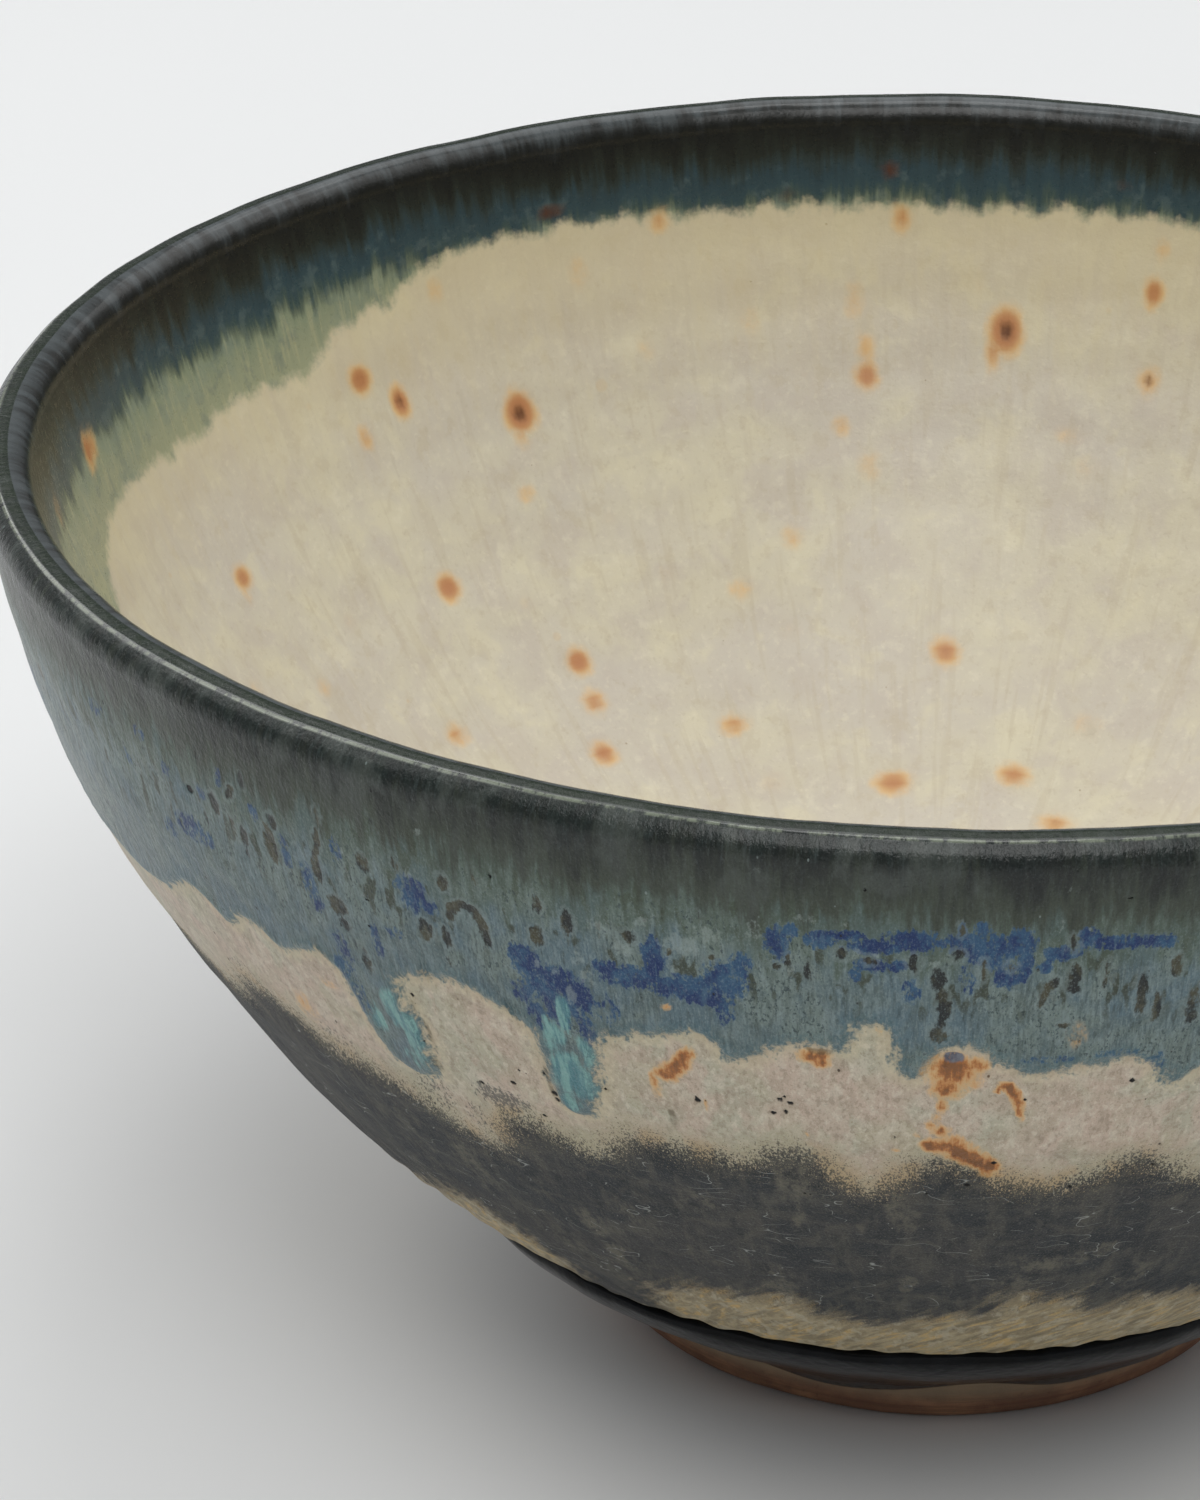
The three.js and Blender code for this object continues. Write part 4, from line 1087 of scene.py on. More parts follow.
    def dots(self, v, scale, share, size):
        """Sparse round dots: a share of the cells carry one, of random size up to size (in cell units)."""
        n = self.t.nodes.new("ShaderNodeTexVoronoi")
        self.put(n, "Vector", v)
        self.put(n, "Scale", scale)
        s = self.t.nodes.new("ShaderNodeSeparateColor")
        self.t.links.new(n.outputs["Color"], s.inputs[0])
        on = self.m("GREATER_THAN", s.outputs[0], 1.0 - share)
        rad = self.mul(self.mad(s.outputs[1], 0.75, 0.25), size)
        d = self.m("DIVIDE", n.outputs["Distance"], rad)
        return self.mul(on, self.step(d, 1.15, 0.65))

    def bump(self, height, distance, strength=1.0, normal=None):
        n = self.t.nodes.new("ShaderNodeBump")
        self.put(n, "Height", height)
        n.inputs["Distance"].default_value = distance
        n.inputs["Strength"].default_value = strength
        if normal is not None:
            self.put(n, "Normal", normal)
        return n.outputs[0]


KI = 1.20     # inside coat, finish over its tone in soft side light


def tone(rgb, sheen, light):
    """Finish that shows as rgb where the side light has that strength and the surface sheen adds that much."""
    out = []
    for v in lin(rgb)[:3]:
        out.append(min(max((v - sheen) / light, 0.004), 0.92))
    return tuple(out) + (1.0,)


def outside_material():
    t = Tree("glaze_outside", 2.0)
    P = t.coords()
    rim, bandd, hem, W = t.attr("edges")
    cobalt, brown, halo, pale = t.attr("marks1")
    turq, rust, stain, pit = t.attr("marks2")
    brush, grey, eye, _ = t.attr("marks3")
    C = t.wrap(P, W)
    streak1 = t.noise(t.scaled(C, 0.95, 0.13), 1.0, 3.0, 0.55)
    streak2 = t.noise(t.scaled(C, 2.4, 0.34), 1.0, 3.0, 0.6)
    streak3 = t.noise(t.scaled(C, 5.2, 0.85), 1.0, 2.0, 0.6)
    Q = t.scaled(C, 1.0, 0.62)
    dash = t.noise(t.scaled(C, 1.35, 0.42), 1.0, 1.0, 0.5)
    cloud = t.noise(P, 0.16, 3.0, 0.55)
    patch = t.noise(Q, 0.34, 3.0, 0.55, 0.4)
    mottle = t.noise(Q, 0.85, 4.0, 0.6)
    fine = t.noise(Q, 2.4, 4.0, 0.65)
    grain = t.noise(Q, 4.6, 2.0, 0.6)
    dust = t.noise(Q, 8.5, 2.0, 0.6)
    cr = lambda rgb: tone(rgb, 0.023, 0.57)
    cc = lambda rgb: tone(rgb, 0.022, 0.592)
    cd = lambda rgb: tone(rgb, 0.018, 0.545)
    ch = lambda rgb: tone(rgb, 0.016, 0.49)
    centred = lambda n, k: t.mul(t.sub(n, 0.5), k)
    # a mark with its outline broken up by a noise, and nothing away from it
    torn = lambda mark, n, lo, hi: t.step(t.add(mark, t.mul(n, t.step(mark, 0.0, 0.2))), lo, hi)

    # ---- rim dip: charcoal at the lip, grey-green, then blue-grey, in upright fingers
    depth = t.add(W, t.add(centred(streak1, 3.6), centred(streak2, 2.4)))
    depth = t.add(depth, centred(cloud, 1.2))
    d01 = t.m("DIVIDE", depth, 20.0, clamp=True)
    base = t.ramp(d01, [
        (0.0, cr((54, 57, 55))), (0.05, cr((50, 53, 52))), (0.09, cr((50, 52, 51))), (0.125, cr((52, 54, 52))), (0.19, cr((58, 61, 57))), (0.26, cr((64, 68, 62))),
        (0.33, cr((68, 74, 68))), (0.39, cr((72, 79, 73))), (0.44, cr((82, 92, 88))), (0.50, cr((89, 101, 101))), (0.64, cr((89, 101, 102))),
        (0.80, cr((85, 97, 98))), (1.0, cr((83, 95, 96)))])
    up = t.step(depth, 5.2, 8.6)
    base = t.mix(t.mul(t.step(patch, 0.50, 0.70), t.mul(up, 0.55)), base, cr((102, 112, 106)))
    base = t.mix(t.mul(t.step(patch, 0.48, 0.30), t.mul(up, 0.55)), base, cr((78, 94, 103)))
    base = t.mix(t.mul(t.step(mottle, 0.54, 0.80), t.mul(up, 0.34)), base, cr((106, 117, 117)))
    base = t.mix(t.mul(t.step(mottle, 0.45, 0.22), t.mul(up, 0.38)), base, cr((74, 86, 90)))
    # fine upright fibres, light and dark
    base = t.mix(t.mul(t.step(streak3, 0.56, 0.84), t.mad(up, 0.28, 0.06)), base, cr((116, 128, 128)))
    base = t.mix(t.mul(t.step(streak3, 0.44, 0.18), t.mad(up, 0.22, 0.14)), base, cr((50, 56, 56)))
    base = t.mix(t.mul(t.step(streak2, 0.46, 0.24), t.mul(up, 0.30)), base, cr((66, 72, 68)))
    # olive dashes left by the dark glaze where it broke
    zone = t.mul(t.step(depth, 4.6, 7.0), t.step(W, 15.0, 11.0))
    olive = t.mul(t.step(t.add(dash, centred(fine, 0.30)), 0.66, 0.84), zone)
    base = t.mix(t.mul(olive, 0.80), base, cr((58, 60, 50)))
    # green-grey haze where it starts to break
    base = t.mix(t.mul(t.mul(t.step(depth, 5.4, 7.4), t.step(depth, 10.5, 8.4)), 0.45), base, cr((80, 91, 83)))
    base = t.mix(t.mul(t.mul(t.step(patch, 0.52, 0.78), t.step(depth, 6.5, 4.0)), 0.45), base, cr((76, 80, 77)))
    base = t.mix(t.mul(t.mul(t.step(patch, 0.46, 0.22), t.step(depth, 5.0, 3.0)), 0.50), base, cr((48, 49, 49)))
    # pores
    pores = t.mul(t.step(grain, 0.36, 0.22), t.mul(t.step(patch, 0.46, 0.70), up))
    base = t.mix(t.mul(pores, 0.65), base, cr((48, 56, 60)))
    # cobalt
    rag = t.add(centred(fine, 1.5), t.add(centred(grain, 0.9), centred(streak3, 0.8)))
    cob = torn(cobalt, rag, 0.18, 0.74)
    aura = torn(cobalt, rag, 0.0, 0.5)
    base = t.mix(t.mul(aura, 0.40), base, cr((76, 94, 106)))
    deep = t.mix(t.step(t.add(mottle, t.add(centred(grain, 0.5), centred(patch, 0.5))), 0.25, 0.80), cr((35, 54, 84)), cr((56, 77, 99)))
    deep = t.mix(t.mul(t.step(streak2, 0.60, 0.86), 0.5), deep, cr((74, 93, 108)))
    base = t.mix(t.mul(cob, 0.95), base, deep)
    # brown marks with a faint pale halo
    hal = torn(halo, centred(fine, 1.3), 0.30, 0.95)
    base = t.mix(t.mul(hal, 0.38), base, cr((108, 119, 118)))
    brn = torn(brown, t.add(centred(fine, 1.0), centred(streak3, 0.6)), 0.24, 0.78)
    base = t.mix(t.mul(brn, 0.92), base, t.mix(t.step(mottle, 0.35, 0.75), cr((44, 44, 38)), cr((70, 68, 57))))
    pal = torn(pale, centred(fine, 1.5), 0.30, 0.80)
    base = t.mix(t.mul(pal, 0.34), base, cr((134, 144, 140)))
    # turquoise in the runs
    tq = torn(turq, t.add(centred(mottle, 0.9), centred(streak2, 0.6)), 0.20, 0.80)
    tcol = t.mix(t.step(streak2, 0.30, 0.66), cr((72, 108, 114)), cr((108, 142, 138)))
    base = t.mix(t.mul(tq, 0.88), base, tcol)
    # darker teal rind just above the dip's edge
    rind = t.mul(t.step(rim, 1.7, 0.2), t.step(t.add(grain, centred(fine, 0.6)), 0.40, 0.56))
    base = t.mix(t.mul(rind, 0.55), base, cr((66, 88, 94)))
    # specks
    base = t.mix(t.mul(t.dots(Q, 1.5, 0.09, 0.15), 0.45), base, cr((124, 134, 132)))
    base = t.mix(t.mul(t.dots(Q, 1.15, 0.10, 0.13), 0.80), base, cr((24, 26, 26)))
    base = t.mix(t.mul(t.step(dust, 0.58, 0.85), t.mad(up, 0.14, 0.04)), base, cr((130, 140, 140)))
    base = t.mix(t.mul(t.step(dust, 0.42, 0.15), 0.20), base, cr((38, 42, 44)))
    # a pale greenish line where lip and wall meet: partly glaze breaking thin over the lip's edge, partly a painted
    # highlight of the top light on the lip's ridge
    lip_break_and_highlight = t.mul(t.step(t.m("ABSOLUTE", t.sub(W, 0.78)), 0.17, 0.05), t.step(t.add(mottle, centred(fine, 0.8)), 0.22, 0.60))
    base = t.mix(t.mul(lip_break_and_highlight, 0.62), base, cr((112, 118, 104)))
    inner = t.mul(t.step(W, 0.66, 0.5), t.step(W, -1.6, -0.9))
    base = t.mix(t.mul(inner, t.mad(t.step(mottle, 0.3, 0.7), 0.35, 0.45)), base, cr((46, 51, 45)))
    rimcol = base

    # ---- cream coat
    cream = t.mix(t.step(cloud, 0.35, 0.65), cc((158, 146, 131)), cc((152, 148, 132)))
    cream = t.mix(t.mul(t.step(patch, 0.48, 0.66), 0.70), cream, cc((163, 147, 134)))
    cream = t.mix(t.mul(t.step(patch, 0.44, 0.28), 0.50), cream, cc((150, 146, 126)))
    cream = t.mix(t.mul(t.step(mottle, 0.54, 0.72), 0.45), cream, cc((171, 164, 150)))
    cream = t.mix(t.mul(t.step(mottle, 0.45, 0.28), 0.40), cream, cc((140, 128, 114)))
    cream = t.mix(t.mul(t.step(fine, 0.42, 0.26), 0.45), cream, cc((122, 110, 96)))
    cream = t.mix(t.mul(t.step(fine, 0.58, 0.76), 0.45), cream, cc((180, 174, 160)))
    cream = t.mix(t.mul(t.step(dust, 0.44, 0.28), 0.18), cream, cc((104, 94, 80)))
    # yellower and greyer towards the band
    low = t.step(t.add(bandd, centred(mottle, 3.0)), -3.6, -0.2)
    cream = t.mix(t.mul(low, 0.55), cream, cc((146, 137, 114)))
    cream = t.mix(t.mul(t.mul(t.step(bandd, -2.2, -0.3), t.step(patch, 0.45, 0.72)), 0.45), cream, cc((150, 128, 92)))
    # a pale, yellowish line where the rim dip ends
    glow = t.step(t.add(rim, centred(fine, 1.0)), -1.25, -0.1)
    cream = t.mix(t.mul(glow, 0.55), cream, cc((170, 160, 136)))
    cream = t.mix(t.mul(t.dots(Q, 1.3, 0.07, 0.13), 0.85), cream, cc((60, 50, 40)))
    cream = t.mix(t.mul(t.dots(Q, 2.3, 0.14, 0.15), 0.40), cream, cc((112, 96, 76)))

    # ---- hem, yellower, brushed and gouged
    x, y, z = C
    slant = t.noise(t.vec(t.mul(t.add(x, z), 0.55), t.mul(y, 0.55), t.mul(t.sub(z, x), 0.16)), 1.0, 3.0, 0.6)
    slant2 = t.noise(t.vec(t.mul(t.add(x, z), 1.0), t.mul(y, 1.0), t.mul(t.sub(z, x), 0.22)), 1.0, 2.0, 0.5)
    hemc = t.mix(t.step(slant, 0.36, 0.64), ch((108, 99, 80)), ch((128, 118, 96)))
    hemc = t.mix(t.mul(t.step(slant2, 0.52, 0.84), 0.75), hemc, ch((150, 127, 84)))
    hemc = t.mix(t.mul(t.step(slant2, 0.44, 0.16), 0.60), hemc, ch((84, 78, 64)))
    hemc = t.mix(t.mul(t.step(mottle, 0.54, 0.72), 0.55), hemc, ch((140, 134, 118)))
    hemc = t.mix(t.mul(t.step(fine, 0.42, 0.20), 0.28), hemc, ch((76, 68, 56)))
    hemc = t.mix(t.mul(t.step(fine, 0.60, 0.84), 0.25), hemc, ch((156, 146, 122)))
    is_hem = t.step(W, 40.0, 44.0)
    coat = t.mix(is_hem, cream, hemc)

    # ---- brushed band
    bs = t.noise(t.scaled(C, 0.22, 0.9), 1.0, 4.0, 0.6)
    bv = t.noise(t.scaled(C, 0.9, 0.22), 1.0, 3.0, 0.6)
    big = t.noise(P, 0.11, 2.0, 0.5, 0.3)
    dark = t.mix(t.step(big, 0.25, 0.75), cd((51, 53, 55)), cd((60, 60, 60)))
    dark = t.mix(t.mul(t.step(bs, 0.50, 0.80), 0.50), dark, cd((72, 71, 67)))
    dark = t.mix(t.mul(t.step(bv, 0.54, 0.86), 0.50), dark, cd((76, 75, 70)))
    dark = t.mix(t.mul(t.step(patch, 0.56, 0.85), 0.40), dark, cd((78, 76, 70)))
    dark = t.mix(t.mul(t.step(mottle, 0.46, 0.20), 0.40), dark, cd((44, 46, 48)))
    dark = t.mix(t.mul(torn(brush, t.add(centred(fine, 0.6), centred(mottle, 0.8)), 0.05, 0.80), 0.80), dark, cd((92, 89, 80)))
    dark = t.mix(t.mul(t.step(fine, 0.44, 0.18), 0.35), dark, cd((38, 40, 42)))
    dark = t.mix(t.mul(t.step(fine, 0.60, 0.85), 0.25), dark, cd((84, 83, 78)))
    dark = t.mix(t.mul(t.step(dust, 0.60, 0.88), 0.32), dark, cd((102, 101, 95)))
    dark = t.mix(t.mul(t.step(dust, 0.42, 0.14), 0.30), dark, cd((32, 33, 35)))
    rings = t.m("ABSOLUTE", t.sub(t.noise(Q, 0.16, 1.0, 0.4, raw=True), 0.52))
    dark = t.mix(t.mul(t.step(rings, 0.030, 0.004), t.mul(t.step(mottle, 0.25, 0.75), 0.42)), dark, cd((80, 78, 72)))
    # thin pale scratches
    line = t.m("ABSOLUTE", t.sub(t.noise(t.scaled(C, 0.30, 0.75), 1.0, 1.0, 0.4, raw=True), 0.5))
    line = t.mul(t.step(line, 0.0075, 0.001), t.step(t.noise(Q, 0.45, 2.0, 0.5), 0.56, 0.66))
    dark = t.mix(t.mul(line, 0.70), dark, cd((134, 136, 132)))
    dark = t.mix(t.mul(t.dots(Q, 1.6, 0.10, 0.13), 0.85), dark, cd((20, 20, 20)))
    dark = t.mix(t.mul(t.dots(Q, 1.9, 0.08, 0.12), 0.60), dark, cd((136, 134, 124)))

    # band over coat: a speckled edge
    speck = t.mul(t.add(centred(dust, 3.6), t.add(centred(grain, 1.5), centred(mottle, 1.4))), t.mad(is_hem, -0.75, 1.0))
    soft_hem = t.mul(is_hem, t.add(centred(slant2, 1.2), centred(slant, 1.5)))
    in_band = t.step(t.add(t.add(t.mul(bandd, t.mad(is_hem, -0.5, 1.0)), speck), soft_hem), -0.85, 0.85)
    haze = t.mul(t.step(bandd, -3.4, 0.0), t.step(dust, 0.60, 0.85))
    coat = t.mix(t.mul(haze, t.mul(t.sub(1.0, is_hem), 0.62)), coat, cc((72, 68, 60)))
    greyp = t.mul(torn(grey, centred(grain, 1.6), 0.30, 0.85), 0.85)
    coat = t.mix(greyp, coat, cc((80, 78, 74)))
    lowc = t.mix(in_band, coat, dark)
    fleck = t.mul(t.mul(t.step(bandd, 3.6, 0.4), in_band), t.step(dust, 0.62, 0.86))
    lowc = t.mix(t.mul(fleck, t.mul(t.sub(1.0, is_hem), 0.70)), lowc, cc((112, 104, 86)))

    # rim dip over coat
    edge_n = t.add(t.add(centred(fine, 0.85), centred(streak2, 0.6)), t.add(centred(mottle, 1.2), centred(grain, 0.6)))
    in_rim = t.step(t.add(rim, edge_n), -0.32, 0.46)
    thin = t.mul(t.step(t.add(rim, edge_n), 1.0, 0.0), 0.30)
    rimcol = t.mix(thin, rimcol, cr((118, 126, 120)))
    col = t.mix(in_rim, lowc, rimcol)

    # rust, stains, eye and pits lie over everything
    rn = t.add(centred(fine, 0.55), t.add(centred(mottle, 0.75), centred(streak3, 0.35)))
    halo = t.step(t.add(rust, t.mul(t.add(centred(fine, 0.35), centred(mottle, 0.4)), t.step(rust, 0.0, 0.12))), 0.0, 0.46)
    col = t.mix(t.mul(halo, 0.55), col, cc((176, 150, 112)))
    rs = torn(rust, rn, 0.02, 0.86)
    rcol = t.mix(torn(rust, rn, 0.34, 0.92), cc((178, 136, 86)), cc((146, 92, 54)))
    rcol = t.mix(t.mul(torn(rust, rn, 0.70, 1.10), 0.85), rcol, cc((98, 68, 50)))
    col = t.mix(t.mul(rs, 0.92), col, rcol)
    st = torn(stain, centred(fine, 0.8), 0.12, 0.85)
    col = t.mix(t.mul(st, 0.70), col, cc((84, 76, 62)))
    col = t.mix(torn(eye, centred(fine, 0.4), 0.25, 0.7), col, t.mix(t.step(fine, 0.3, 0.7), cc((84, 84, 92)), cc((104, 106, 112))))
    hole = t.step(t.add(pit, centred(grain, 0.05)), 0.60, 0.72)
    col = t.mix(hole, col, lin((12, 11, 11), 1.0))
    t.put(t.bsdf, "Base Color", col)

    # finish
    dry = t.mul(in_band, t.sub(1.0, in_rim))
    rg = t.add(t.mad(dry, 0.17, t.mad(in_rim, -0.11, 0.44)), centred(fine, 0.14))
    rg = t.add(rg, t.mul(is_hem, 0.05))
    rg = t.add(rg, t.mul(t.step(W, 5.0, 1.5), -0.05))
    t.put(t.bsdf, "Roughness", t.m("MINIMUM", t.m("MAXIMUM", rg, 0.17), 0.85))
    t.bsdf.inputs["IOR"].default_value = 1.5
    # relief: pinholes, grain, fibres, edges
    pits = t.add(t.dots(Q, 1.3, 0.07, 0.13), t.dots(Q, 1.15, 0.10, 0.13))
    hgt = t.add(t.mul(fine, 0.7), t.add(t.mul(grain, 0.35), t.mul(mottle, 0.5)))
    hgt = t.add(hgt, t.mul(in_rim, t.mul(streak3, t.mad(up, 0.24, 0.06))))
    hgt = t.add(hgt, t.mul(dry, t.mul(dust, 0.5)))
    hgt = t.add(hgt, t.mul(is_hem, t.mul(slant2, 1.2)))
    hgt = t.sub(hgt, t.mul(pits, 0.9))
    hgt = t.sub(hgt, t.mul(hole, 1.6))
    hgt = t.sub(hgt, t.mul(brn, 0.35))
    hgt = t.add(hgt, t.mul(t.step(t.add(rim, edge_n), -0.25, 0.35), 0.5))
    hgt = t.add(hgt, t.mul(in_band, 0.15))
    t.put(t.bsdf, "Normal", t.bump(hgt, 0.00009, 0.8))
    t.bsdf.inputs["Specular IOR Level"].default_value = 0.28
    t.put(t.bsdf, "Coat Weight", t.mad(t.step(t.m("ABSOLUTE", t.sub(W, 0.72)), 0.26, 0.10), 0.82, t.mul(t.step(t.m("ABSOLUTE", W), 2.4, 1.4), 0.12)))
    t.bsdf.inputs["Coat Roughness"].default_value = 0.06
    return t.mat


def inside_material():
    t = Tree("glaze_inside", 1.35)
    P = t.coords()
    rim, _, _, W = t.attr("edges")
    _, rust, _, _ = t.attr("marks2")
    _, _, _, dark = t.attr("marks3")
    depth0 = t.mul(W, -1.0)
    C = t.wrap(P, depth0)
    streak1 = t.noise(t.scaled(C, 0.8, 0.10), 1.0, 3.0, 0.55)
    streak2 = t.noise(t.scaled(C, 2.2, 0.25), 1.0, 3.0, 0.6)
    drip = t.noise(t.scaled(C, 0.45, 0.05), 1.0, 3.0, 0.6)
    cloud = t.noise(P, 0.085, 3.0, 0.55)
    patch = t.noise(P, 0.26, 3.0, 0.55, 0.3)
    mottle = t.noise(P, 0.62, 4.0, 0.6)
    fine = t.noise(P, 2.4, 4.0, 0.6)
    ci = lambda rgb: lin(rgb, KI)
    centred = lambda n, k: t.mul(t.sub(n, 0.5), k)
    # cream, with soft yellow, grey and pink clouds
    cream = t.mix(t.step(cloud, 0.30, 0.70), ci((194, 187, 166)), ci((188, 181, 168)))
    cream = t.mix(t.mul(t.step(patch, 0.48, 0.72), 0.60), cream, ci((183, 174, 162)))
    cream = t.mix(t.mul(t.step(patch, 0.46, 0.26), 0.45), cream, ci((204, 197, 170)))
    cream = t.mix(t.mul(t.step(mottle, 0.56, 0.80), 0.36), cream, ci((210, 204, 184)))
    cream = t.mix(t.mul(t.step(mottle, 0.43, 0.28), 0.30), cream, ci((176, 164, 140)))
    cream = t.mix(t.mul(t.step(streak1, 0.55, 0.72), 0.30), cream, ci((178, 167, 144)))
    cream = t.mix(t.mul(t.step(fine, 0.40, 0.24), 0.20), cream, ci((164, 152, 130)))
    cream = t.mix(t.mul(t.step(fine, 0.60, 0.76), 0.20), cream, ci((216, 210, 190)))
    cream = t.mix(t.mul(t.dots(P, 0.40, 0.10, 0.24), 0.25), cream, ci((190, 160, 112)))
    cream = t.mix(t.mul(t.dots(P, 0.9, 0.05, 0.10), 0.5), cream, ci((150, 128, 96)))
    # a warmer, deeper tone just below the rim dip
    cream = t.mix(t.mul(t.step(t.add(depth0, centred(streak1, 9.0)), 24.0, 8.0), 0.60), cream, ci((194, 181, 142)))

    # rim dip inside; its first two stops, lighter and bluer at the lip's top, are a painted sheen
    depth = t.add(depth0, t.add(centred(streak1, 3.4), t.add(centred(streak2, 1.5), centred(patch, 1.2))))
    d01 = t.m("DIVIDE", depth, 16.0, clamp=True)
    k = 1.12
    dip = t.ramp(d01, [
        (0.0, lin((76, 82, 84), 1.0)), (0.055, lin((58, 63, 64), 1.0)), (0.09, lin((40, 42, 41), 1.0)), (0.14, lin((28, 29, 26), 1.0)), (0.20, lin((33, 34, 29), 1.0)), (0.27, lin((41, 45, 38), 1.0)),
        (0.32, lin((46, 56, 54), k)), (0.375, lin((48, 65, 70), k)), (0.44, lin((52, 71, 76), k)), (0.485, lin((64, 80, 76), k)), (0.52, lin((92, 102, 86), 1.2)), (0.565, lin((122, 131, 108), 1.26)),
        (0.68, lin((135, 140, 115), 1.29)), (1.0, lin((148, 150, 121), 1.3))])
    deep = t.step(depth, 5.0, 6.6)
    dip = t.mix(t.mul(t.step(mottle, 0.52, 0.70), t.mul(deep, 0.32)), dip, lin((92, 106, 104), 1.2))
    dip = t.mix(t.mul(t.step(patch, 0.50, 0.66), t.mul(t.step(depth, 7.6, 9.0), 0.40)), dip, lin((118, 130, 116), 1.25))
    dip = t.mix(t.mul(t.step(streak2, 0.54, 0.72), t.mul(t.step(depth, 8.4, 9.8), 0.25)), dip, lin((168, 163, 126), 1.3))
    edge_n = t.add(centred(fine, 0.6), t.add(centred(mottle, 1.4), centred(drip, 1.6)))
    in_rim = t.step(t.add(rim, edge_n), -0.55, 0.65)
    col = t.mix(in_rim, cream, dip)
    # spots: orange ring, dark heart
    wob = centred(mottle, 0.6)
    ring = t.step(t.add(rust, t.mul(wob, t.step(rust, 0.0, 0.2))), 0.0, 0.66)
    col = t.mix(t.mul(ring, 0.86), col, t.mix(t.step(rust, 0.22, 0.85), ci((206, 168, 110)), ci((170, 106, 54))))
    heart = t.step(t.add(dark, t.mul(wob, t.step(dark, 0.0, 0.2))), 0.12, 0.85)
    col = t.mix(t.mul(heart, 0.9), col, ci((80, 46, 26)))
    t.put(t.bsdf, "Base Color", col)
    rg = t.add(t.mad(in_rim, -0.10, 0.40), centred(fine, 0.2))
    t.put(t.bsdf, "Roughness", t.m("MAXIMUM", rg, 0.18))
    t.bsdf.inputs["IOR"].default_value = 1.5
    hgt = t.mad(fine, 0.5, t.mul(mottle, 0.8))
    hgt = t.sub(hgt, t.mul(heart, 0.6))
    hgt = t.sub(hgt, t.mul(t.dots(P, 0.9, 0.05, 0.10), 0.8))
    t.put(t.bsdf, "Normal", t.bump(hgt, 0.00007, 0.6))
    t.bsdf.inputs["Specular IOR Level"].default_value = 0.32
    t.put(t.bsdf, "Coat Weight", t.mul(t.step(depth0, 1.6, 0.4), 0.6))
    t.bsdf.inputs["Coat Roughness"].default_value = 0.08
    return t.mat


def bead_material():
    t = Tree("glaze_black")
    P = t.coords()
    Z, R, _, _ = t.attr("edges")
    fine = t.noise(P, 1.6, 3.0, 0.6)
    soft = t.noise(P, 0.4, 2.0, 0.5)
    col = t.mix(t.step(soft, 0.35, 0.65), lin((14, 15, 16), 1.0), lin((22, 24, 27), 1.0))
    col = t.mix(t.mul(t.step(Z, 5.2, 4.1), t.mul(t.step(fine, 0.4, 0.6), 0.5)), col, lin((80, 70, 52), 1.2))
    t.put(t.bsdf, "Base Color", col)
    t.put(t.bsdf, "Roughness", t.mad(t.sub(fine, 0.5), 0.12, 0.17))
    t.bsdf.inputs["IOR"].default_value = 1.5
    t.bsdf.inputs["Specular IOR Level"].default_value = 0.10
    t.put(t.bsdf, "Normal", t.bump(t.mad(soft, 1.0, t.mul(fine, 0.35)), 0.0002, 0.5))
    return t.mat


def foot_material():
    t = Tree("clay_foot")
    P = t.coords()
    Z, R, _, _ = t.attr("edges")
    ring = t.noise(t.scaled(t.wrap(P, Z, 22.0), 0.12, 3.6), 1.0, 3.0, 0.6)
    fine = t.noise(P, 2.6, 4.0, 0.65)
    grain = t.noise(P, 8.0, 3.0, 0.7)
    mott = t.noise(P, 0.35, 3.0, 0.55)
    col = t.mix(t.step(mott, 0.35, 0.65), lin((96, 68, 52), 2.3), lin((120, 88, 66), 2.3))
    col = t.mix(t.mul(t.step(ring, 0.45, 0.62), 0.4), col, lin((74, 54, 42), 2.0))
    col = t.mix(t.mul(t.step(fine, 0.42, 0.26), 0.5), col, lin((60, 44, 34), 1.8))
    col = t.mix(t.mul(t.step(grain, 0.60, 0.76), 0.5), col, lin((168, 132, 98), 1.6))
    # a tan, slightly glassy line under the bead
    tan = t.step(t.add(Z, t.mul(t.sub(fine, 0.5), 0.8)), 1.3, 2.9)
    col = t.mix(t.mul(tan, 0.75), col, lin((134, 120, 98), 1.5))
    # worn, dustier resting face
    rest = t.step(Z, 0.25, 0.02)
    col = t.mix(t.mul(rest, 0.45), col, lin((150, 118, 90), 1.5))
    t.put(t.bsdf, "Base Color", col)
    t.put(t.bsdf, "Roughness", t.mad(t.sub(fine, 0.5), 0.2, 0.78))
    t.put(t.bsdf, "Normal", t.bump(t.mad(fine, 0.5, t.mad(grain, 0.4, t.mul(ring, 0.8))), 0.00016, 0.8))
    return t.mat


def clay_material():
    t = Tree("clay_bare")
    P = t.coords()
    fine = t.noise(P, 2.2, 4.0, 0.65)
    grain = t.noise(P, 7.0, 3.0, 0.7)
    mott = t.noise(P, 0.3, 3.0, 0.55)
    col = t.mix(t.step(mott, 0.35, 0.65), lin((118, 84, 62), 1.5), lin((140, 104, 78), 1.5))
    col = t.mix(t.mul(t.step(fine, 0.42, 0.26), 0.45), col, lin((84, 60, 46), 1.4))
    col = t.mix(t.mul(t.step(grain, 0.60, 0.76), 0.45), col, lin((180, 146, 112), 1.4))
    t.put(t.bsdf, "Base Color", col)
    t.put(t.bsdf, "Roughness", t.mad(t.sub(fine, 0.5), 0.2, 0.8))
    t.put(t.bsdf, "Normal", t.bump(t.mad(fine, 0.6, t.mul(grain, 0.4)), 0.00018, 0.8))
    return t.mat


GLAZE_OUT = outside_material()
GLAZE_IN = inside_material()
outer.data.materials.append(GLAZE_OUT)
band.data.materials.append(GLAZE_OUT)
rim.data.materials.append(GLAZE_OUT)
rim.data.materials.append(GLAZE_IN)
rim.data.polygons.foreach_set("material_index", rim_faces)
liner.data.materials.append(GLAZE_IN)
bead.data.materials.append(bead_material())
foot.data.materials.append(foot_material())
clay.data.materials.append(clay_material())

for ob, node, slot in PIECES:
    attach(ob, "root")
    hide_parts(node)


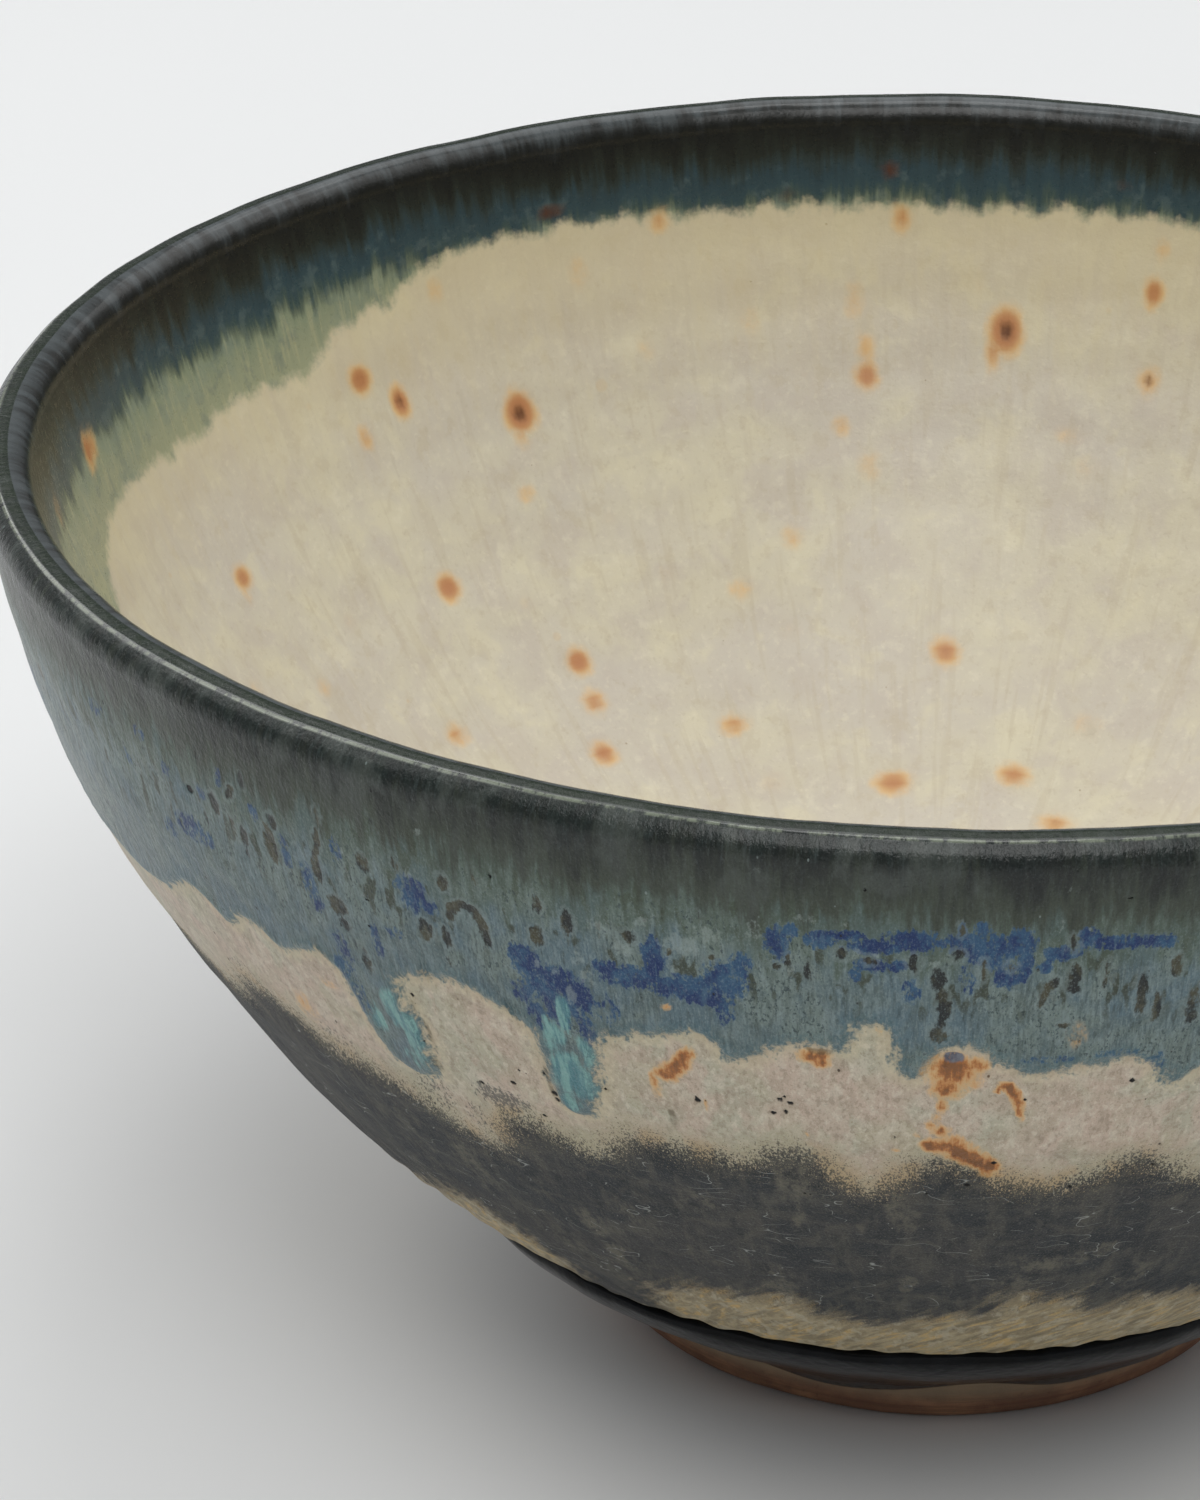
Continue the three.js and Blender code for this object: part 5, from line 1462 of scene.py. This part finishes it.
# ---------------------------------------------------------------------------------------------
# floor, light, camera
# ---------------------------------------------------------------------------------------------

def floor():
    me = bpy.data.meshes.new("floor")
    s = 3.0
    me.from_pydata([(-s, -s, 0), (s, -s, 0), (s, s, 0), (-s, s, 0)], [], [(0, 1, 2, 3)])
    ob = bpy.data.objects.new("floor", me)
    bpy.context.scene.collection.objects.link(ob)
    t = Tree("floor_paper")
    P = t.coords()
    n = t.noise(P, 0.01, 2.0, 0.5)
    t.put(t.bsdf, "Base Color", t.mix(n, (0.80, 0.81, 0.815, 1), (0.82, 0.83, 0.835, 1)))
    t.bsdf.inputs["Roughness"].default_value = 0.7
    t.bsdf.inputs["Specular IOR Level"].default_value = 0.2
    me.materials.append(t.mat)
    return ob


floor()


def area(name, loc, target, size, power, colour=(1, 1, 1), size_y=None):
    li = bpy.data.lights.new(name, "AREA")
    li.energy = power
    li.color = colour
    li.shape = "RECTANGLE"
    li.size = size
    li.size_y = size_y or size
    ob = bpy.data.objects.new(name, li)
    ob.location = loc
    ob.rotation_euler = (Vector(target) - Vector(loc)).to_track_quat("-Z", "Y").to_euler()
    bpy.context.scene.collection.objects.link(ob)
    return ob


# A pale room: soft panels on every side, the strongest from the front and the left.
area("panel_top", (0, 0.22, 1.15), (0, 0, 0.03), 0.34, 1.1, (1.0, 0.998, 0.992))
for name, loc, power in [("panel_back", (0, 0.62, 0.97), 1.5), ("panel_left", (-0.75, 0.1, 0.87), 2.3),
                         ("panel_right", (0.75, 0.1, 0.87), 1.95), ("panel_front", (0, -0.62, 0.97), 6.4), ("panel_back_left", (-0.62, 0.62, 0.75), 2.5),
                         ("panel_back_right", (0.62, 0.62, 0.75), 1.6)]:
    area(name, loc, (0, 0, 0.03), 0.7, power, (1.0, 0.998, 0.992))
world = bpy.data.worlds.new("studio")
bpy.context.scene.world = world
world.use_nodes = True
world.node_tree.nodes["Background"].inputs[0].default_value = (0.96, 0.98, 1.0, 1)
world.node_tree.nodes["Background"].inputs[1].default_value = 0.155

cam_data = bpy.data.cameras.new("view")
cam_data.sensor_width = 36.0
cam_data.sensor_fit = "AUTO"
cam_data.lens = 132.0
cam_data.clip_start = 0.01
cam_data.clip_end = 20.0
cam = bpy.data.objects.new("view", cam_data)
bpy.context.scene.collection.objects.link(cam)
yaw, pitch, roll = math.radians(3.820), math.radians(26.133), math.radians(-0.045)
fwd = Vector((-math.sin(yaw) * math.cos(pitch), math.cos(yaw) * math.cos(pitch), -math.sin(pitch)))
right = Vector((math.cos(yaw), math.sin(yaw), 0))
up = right.cross(fwd)
r2 = right * math.cos(roll) + up * math.sin(roll)
u2 = up * math.cos(roll) - right * math.sin(roll)
m = Matrix((r2, u2, -fwd)).transposed().to_4x4()
m.translation = Vector((0.0, -0.332827, 0.202228))
cam.matrix_world = m
bpy.context.scene.camera = cam

scene = bpy.context.scene
scene.view_settings.view_transform = "Standard"
scene.view_settings.look = "None"
scene.view_settings.exposure = 0.0
scene.view_settings.gamma = 1.0
